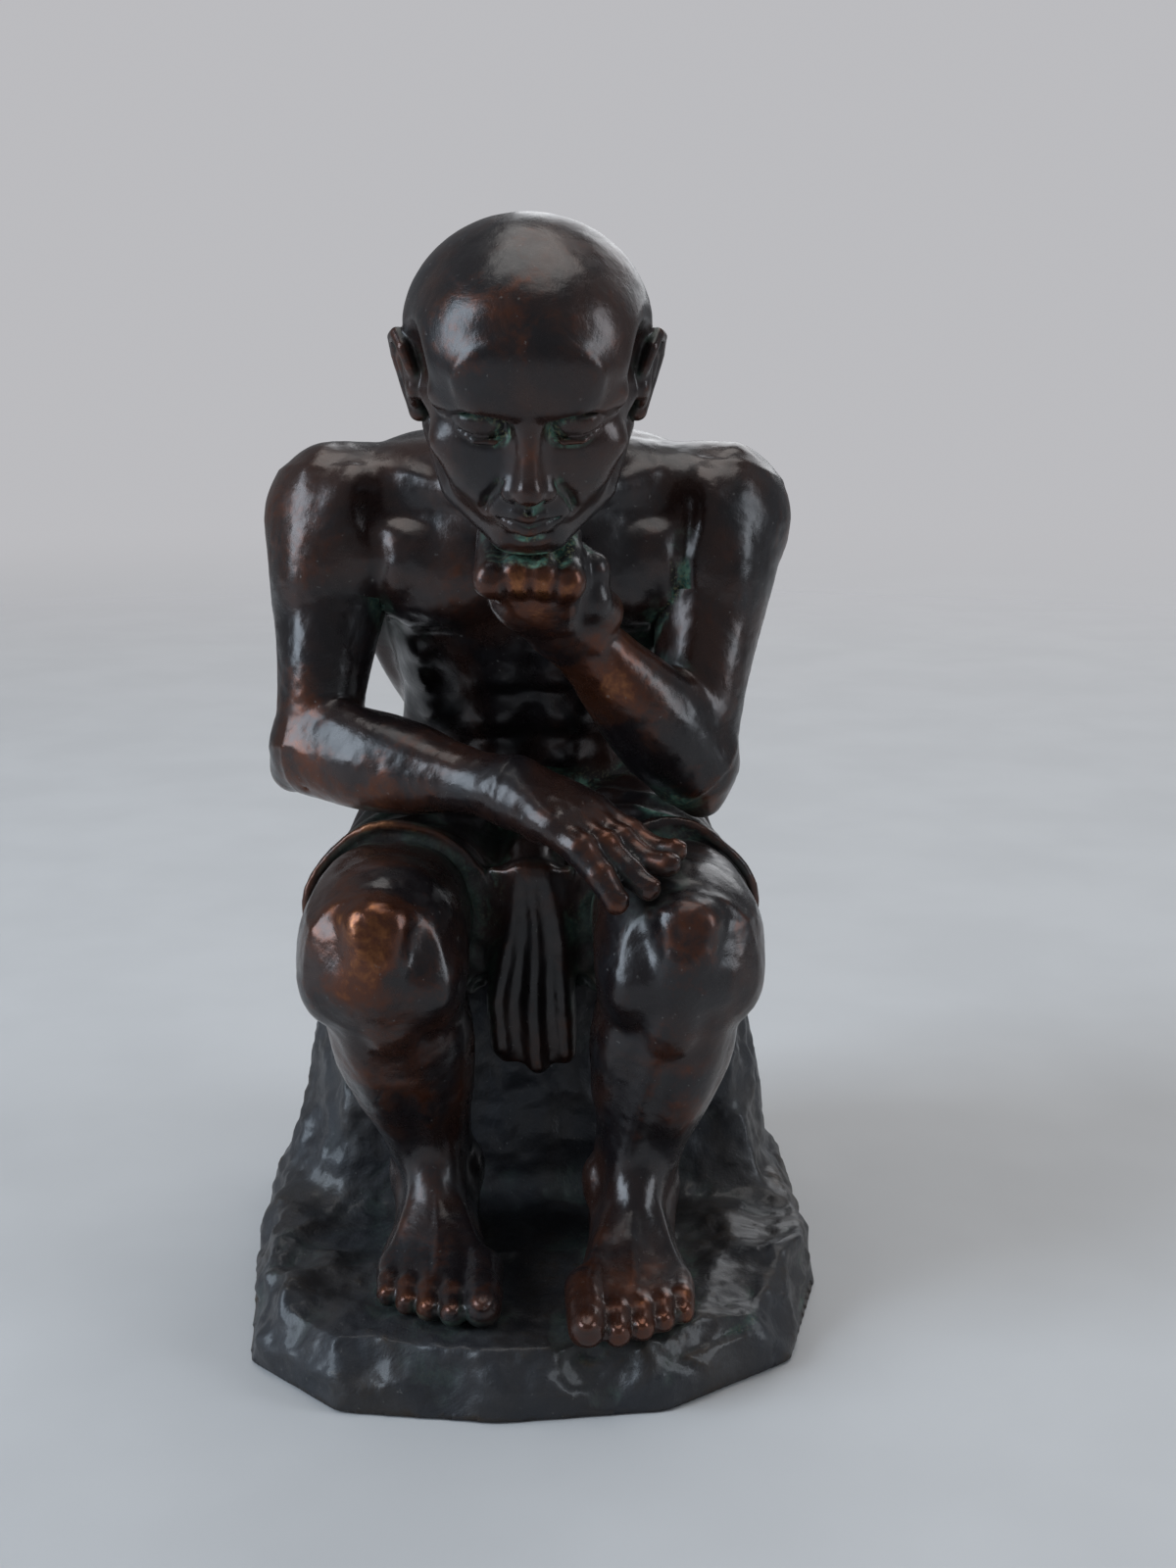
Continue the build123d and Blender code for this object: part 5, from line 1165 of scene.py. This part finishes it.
def build(name, part):
    mesh = bpy.data.meshes.new(name)
    p, quads = part["points"], part["quads"]
    mesh.vertices.add(len(p))
    mesh.vertices.foreach_set("co", (p * MM).astype(np.float32).ravel())
    mesh.loops.add(quads.size)
    mesh.loops.foreach_set("vertex_index", quads.astype(np.int32).ravel())
    mesh.polygons.add(len(quads))
    mesh.polygons.foreach_set("loop_start", (np.arange(len(quads)) * 4).astype(np.int32))
    mesh.update(calc_edges=True)
    mesh.polygons.foreach_set("use_smooth", np.ones(len(quads), bool))
    mesh.normals_split_custom_set_from_vertices([tuple(n) for n in part["normals"]])
    for key in LAYERS:
        mesh.attributes.new(key, "FLOAT", "POINT").data.foreach_set("value", part[key].astype(np.float32))
    return add_object(name, mesh)


objects = {}
for name, part in parts.items():
    finish_part(name, part)
    objects[name] = build(name + "_sculpt", part)


# ---------------------------------------------------------------- materials

class Nodes:
    """A material under construction. Values are numbers, colours of three numbers, or sockets."""

    def __init__(self, name):
        self.material = bpy.data.materials.new(name)
        self.material.use_nodes = True
        self.tree = self.material.node_tree
        self.link = self.tree.links.new
        self.shader = self.tree.nodes["Principled BSDF"]
        self.coords = self.add("ShaderNodeTexCoord").outputs["Object"]

    def add(self, kind, **settings):
        node = self.tree.nodes.new(kind)
        for key, value in settings.items():
            setattr(node, key, value)
        return node

    def feed(self, node, **values):
        for key, value in values.items():
            socket = node.inputs[key.replace("_", " ")]
            if isinstance(value, bpy.types.NodeSocket):
                self.link(value, socket)
            else:
                socket.default_value = (*value, 1) if isinstance(value, tuple) else value

    def set(self, **values):
        self.feed(self.shader, **values)

    def attribute(self, name):
        return self.add("ShaderNodeAttribute", attribute_name=name).outputs["Fac"]

    def noise(self, scale, detail=4.0, roughness=0.55, distortion=0.0, offset=(0, 0, 0)):
        place = self.add("ShaderNodeMapping")
        place.inputs["Location"].default_value = offset
        self.link(self.coords, place.inputs["Vector"])
        node = self.add("ShaderNodeTexNoise")
        self.feed(node, Vector=place.outputs["Vector"], Scale=scale, Detail=detail, Roughness=roughness,
                  Distortion=distortion)
        return node.outputs["Fac"]

    def math(self, kind, *values, clamp=False):
        node = self.add("ShaderNodeMath", operation=kind, use_clamp=clamp)
        for socket, value in zip(node.inputs, (*values, 0.0, 0.0)):
            if isinstance(value, bpy.types.NodeSocket):
                self.link(value, socket)
            else:
                socket.default_value = value
        return node.outputs[0]

    def times(self, a, b, clamp=False):
        return self.math("MULTIPLY", a, b, clamp=clamp)

    def plus(self, first, *others, clamp=False):
        for k, value in enumerate(others, 1):
            first = self.math("ADD", first, value, clamp=clamp and k == len(others))
        return first

    def ramp(self, value, low, high, to_low=0.0, to_high=1.0):
        node = self.add("ShaderNodeMapRange", interpolation_type="SMOOTHSTEP")
        self.feed(node, Value=value, From_Min=low, From_Max=high, To_Min=to_low, To_Max=to_high)
        return node.outputs["Result"]

    def mix(self, share, a, b):
        node = self.add("ShaderNodeMix", data_type="RGBA")
        self.feed(node, Factor=share, A=a, B=b)
        return node.outputs["Result"]

    def bump(self, *layers):
        """Layers of (height, distance in millimetres, strength)."""
        normal = None
        for height, distance, strength in layers:
            node = self.add("ShaderNodeBump")
            self.feed(node, Strength=strength, Distance=distance * MM, Height=height)
            if normal is not None:
                self.link(normal, node.inputs["Normal"])
            normal = node.outputs["Normal"]
        self.set(Normal=normal)


def bronze(name, dark, brown, rubbed, bare, wear_gain, green_gain, gloss, grain):
    m = Nodes(name)
    hollow, ridge, thin, wear, stain = (m.attribute(key) for key in LAYERS)
    patches = m.noise(70, 4, 0.6, 0.5)
    cloudy = m.noise(190, 5, 0.65, 0.6, (0.3, 0.1, 0.7))
    fine = m.noise(900, 3, 0.6)
    speck = m.noise(2600, 2, 0.5)
    base = m.mix(m.ramp(patches, 0.40, 0.62), dark, brown)
    base = m.mix(m.times(m.ramp(cloudy, 0.50, 0.74), 0.5), base, (0.016, 0.019, 0.024))
    # rubbed high points
    high = m.plus(m.math("MINIMUM", m.times(ridge, 1.7), 0.42), m.times(thin, 0.26), m.times(wear, wear_gain),
                  m.ramp(cloudy, 0.35, 0.75, -0.30, 0.22), m.ramp(patches, 0.38, 0.66, -0.14, 0.30),
                  m.ramp(fine, 0.35, 0.7, -0.14, 0.10))
    base = m.mix(m.times(m.ramp(high, 0.20, 1.05), 0.9), base, rubbed)
    base = m.mix(m.times(m.ramp(high, 0.85, 1.45), 0.8), base, bare)
    # painted shade, green and powder in the hollows
    deep = m.ramp(hollow, 0.34, 0.80)
    # painted shade: near black mixed in by how closed in the hollow is, darkest in creases and between parts
    base = m.mix(m.times(deep, 0.60), base, (0.006, 0.0065, 0.0065))
    spots = m.ramp(m.noise(160, 4, 0.7, 0.8, (0.8, 0.2, 0.1)), 0.44, 0.60)
    green = m.times(m.times(m.plus(stain, 0.07), m.ramp(hollow, 0.30, 0.66)), spots)
    green = m.times(green, green_gain * 2.2, clamp=True)
    tint = m.mix(m.ramp(fine, 0.35, 0.65), (0.034, 0.100, 0.078), (0.12, 0.25, 0.18))
    base = m.mix(green, base, tint)
    powder = m.times(m.math("MULTIPLY_ADD", stain, 1.2, 0.05), m.ramp(speck, 0.54, 0.64))
    powder = m.times(powder, m.ramp(hollow, 0.34, 0.7), clamp=True)
    base = m.mix(m.times(powder, 0.75), base, (0.24, 0.24, 0.13))
    dust = m.times(m.ramp(m.noise(1500, 2, 0.5, 0, (0.5, 0.5, 0.2)), 0.69, 0.75), m.ramp(cloudy, 0.42, 0.6))
    base = m.mix(m.times(dust, 0.4), base, (0.22, 0.21, 0.20))
    grime = m.plus(green, powder)
    rough = m.plus(m.ramp(cloudy, 0.3, 0.75, gloss - 0.05, gloss + 0.13), m.times(deep, 0.30),
                   m.times(grime, 0.30), m.times(dust, 0.2), clamp=True)
    metal = m.math("SUBTRACT", m.ramp(high, 0.1, 1.2, 0.30, 0.90), m.times(m.plus(deep, grime), 0.5), clamp=True)
    m.set(Base_Color=base, Roughness=rough, Metallic=metal)
    m.set(Coat_Weight=0.25, Coat_Roughness=0.20, Specular_IOR_Level=0.50)
    m.bump((cloudy, 0.20 * grain, 0.5), (fine, 0.06 * grain, 0.6), (speck, 0.022 * grain, 0.6))
    return m.material


def plain_metal(name, colour, tint, roughness, scale):
    m = Nodes(name)
    cloud = m.noise(scale, 5, 0.6, 0.3)
    fine = m.noise(scale * 7, 3, 0.6)
    m.set(Base_Color=m.mix(m.ramp(cloud, 0.35, 0.7), colour, tint), Metallic=1.0,
          Roughness=m.ramp(fine, 0.3, 0.7, roughness - 0.08, roughness + 0.12))
    m.bump((fine, 0.03, 0.4))
    return m.material


def felt(name):
    m = Nodes(name)
    fibre = m.noise(2800, 6, 0.75, 1.4)
    cloud = m.noise(160, 4, 0.6)
    base = m.mix(m.ramp(fibre, 0.35, 0.7), (0.010, 0.028, 0.016), (0.030, 0.070, 0.040))
    m.set(Base_Color=m.mix(m.ramp(cloud, 0.4, 0.8), base, (0.036, 0.055, 0.036)), Roughness=0.95)
    m.set(Sheen_Weight=0.3, Sheen_Roughness=0.6)
    m.bump((fibre, 0.25, 0.8))
    return m.material


MATERIALS = {
    "figure_bronze": bronze("figure_bronze", (0.0120, 0.0092, 0.0105), (0.036, 0.0165, 0.0125),
                            (0.115, 0.038, 0.019), (0.34, 0.135, 0.052), 0.92, 1.0, 0.27, 1.0),
    "cloth_bronze": bronze("cloth_bronze", (0.0120, 0.0095, 0.0105), (0.032, 0.0160, 0.0130),
                           (0.095, 0.035, 0.019), (0.27, 0.115, 0.050), 0.80, 0.9, 0.31, 1.2),
    "rock_bronze": bronze("rock_bronze", (0.0200, 0.0215, 0.0265), (0.030, 0.0275, 0.0280),
                          (0.060, 0.046, 0.036), (0.22, 0.150, 0.060), 0.62, 0.6, 0.50, 2.4),
    "bare_brass": plain_metal("bare_brass", (0.50, 0.34, 0.14), (0.30, 0.21, 0.10), 0.38, 300),
    "steel": plain_metal("steel", (0.48, 0.48, 0.49), (0.34, 0.34, 0.35), 0.36, 420),
    "felt": felt("felt"),
}

slots = {row["node"]: row["material_slot"] for row in frame["record"]["subparts"]}
for name, obj in objects.items():
    obj.data.materials.append(MATERIALS[slots[name]])
    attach(obj, "root")
    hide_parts(name)
for name, node in frame["nodes"].items():
    if name not in objects:
        node.data.materials.clear()
        node.data.materials.append(MATERIALS[slots[name]])


# ---------------------------------------------------------------- floor, light, camera

FLOOR_HALF = 4.0
plane_mesh = bpy.data.meshes.new("floor")
plane_mesh.from_pydata([(x * FLOOR_HALF, y * FLOOR_HALF, 0) for x, y in ((-1, -1), (1, -1), (1, 1), (-1, 1))],
                       [], [(0, 1, 2, 3)])
floor = add_object("floor", plane_mesh)
m = Nodes("floor")
m.set(Base_Color=m.mix(m.ramp(m.noise(30, 3, 0.5), 0.3, 0.7), (0.56, 0.56, 0.565), (0.59, 0.59, 0.595)))
m.set(Roughness=0.8, Specular_IOR_Level=0.15)
# it fades out around the statuette, into the world's colour
middle = m.add("ShaderNodeVectorMath", operation="LENGTH")
m.link(m.coords, middle.inputs[0])
faded = m.add("ShaderNodeMixShader")
m.link(m.ramp(middle.outputs["Value"], 0.22, 0.85), faded.inputs["Fac"])
m.link(m.shader.outputs[0], faded.inputs[1])
m.link(m.add("ShaderNodeBsdfTransparent").outputs[0], faded.inputs[2])
m.link(faded.outputs[0], m.tree.nodes["Material Output"].inputs["Surface"])
plane_mesh.materials.append(m.material)

world = bpy.data.worlds.new("studio")
world.use_nodes = True
bpy.context.scene.world = world
tree = world.node_tree
background = tree.nodes["Background"]
background.inputs["Color"].default_value = (0.86, 0.89, 0.94, 1)
background.inputs["Strength"].default_value = 0.20
seen = tree.nodes.new("ShaderNodeBackground")
seen.inputs["Color"].default_value = (0.50, 0.50, 0.52, 1)
seen.inputs["Strength"].default_value = 1.0
path = tree.nodes.new("ShaderNodeLightPath")
chosen = tree.nodes.new("ShaderNodeMixShader")
tree.links.new(path.outputs["Is Camera Ray"], chosen.inputs["Fac"])
tree.links.new(background.outputs[0], chosen.inputs[1])
tree.links.new(seen.outputs[0], chosen.inputs[2])
tree.links.new(chosen.outputs[0], tree.nodes["World Output"].inputs["Surface"])


def softbox(name, place, height, size, power, colour):
    """A lamp of this width and height that faces the statuette's middle at that height."""
    light = bpy.data.lights.new(name, "AREA")
    light.shape = "RECTANGLE"
    light.size, light.size_y = size
    light.energy = power
    light.color = colour
    obj = add_object(name, light)
    obj.location = place
    obj.rotation_mode = "QUATERNION"
    obj.rotation_quaternion = Vector((-place[0], -place[1], height - place[2])).to_track_quat("-Z", "Y")


softbox("window", (-0.75, -0.25, 0.42), 0.07, (0.42, 0.70), 6.2, (0.74, 0.87, 1.0))
softbox("right", (0.74, -0.22, 0.34), 0.07, (0.26, 0.60), 2.0, (0.84, 0.92, 1.0))
softbox("top", (0.05, 0.10, 0.85), 0.05, (0.60, 0.60), 2.2, (1.0, 0.98, 0.95))
softbox("back", (0.25, 0.75, 0.45), 0.07, (0.60, 0.50), 1.6, (0.95, 0.97, 1.0))

SENSOR = 36.0
FOCAL_PIXELS = 2120.0
FRAME_PIXELS = (1200.0, 1600.0)
# where the middle of the base projects, from the frame's left and top
BASE_PIXELS = (540.0, 1276.0)
DISTANCE = 0.270
ELEVATION = math.radians(26.0)
camera_data = bpy.data.cameras.new("camera")
camera_data.sensor_width = SENSOR
camera_data.lens = SENSOR * FOCAL_PIXELS / FRAME_PIXELS[1]
camera_data.clip_start, camera_data.clip_end = 0.01, 20.0
camera = add_object("camera", camera_data)
camera.location = (0.0, -DISTANCE * math.cos(ELEVATION), DISTANCE * math.sin(ELEVATION))
pan, tilt = (math.atan((base - side / 2) / FOCAL_PIXELS) for base, side in zip(BASE_PIXELS, FRAME_PIXELS))
camera.rotation_euler = (math.radians(90.0) - ELEVATION + tilt, 0.0, pan)
bpy.context.scene.camera = camera

bpy.context.scene.view_settings.view_transform = "Standard"
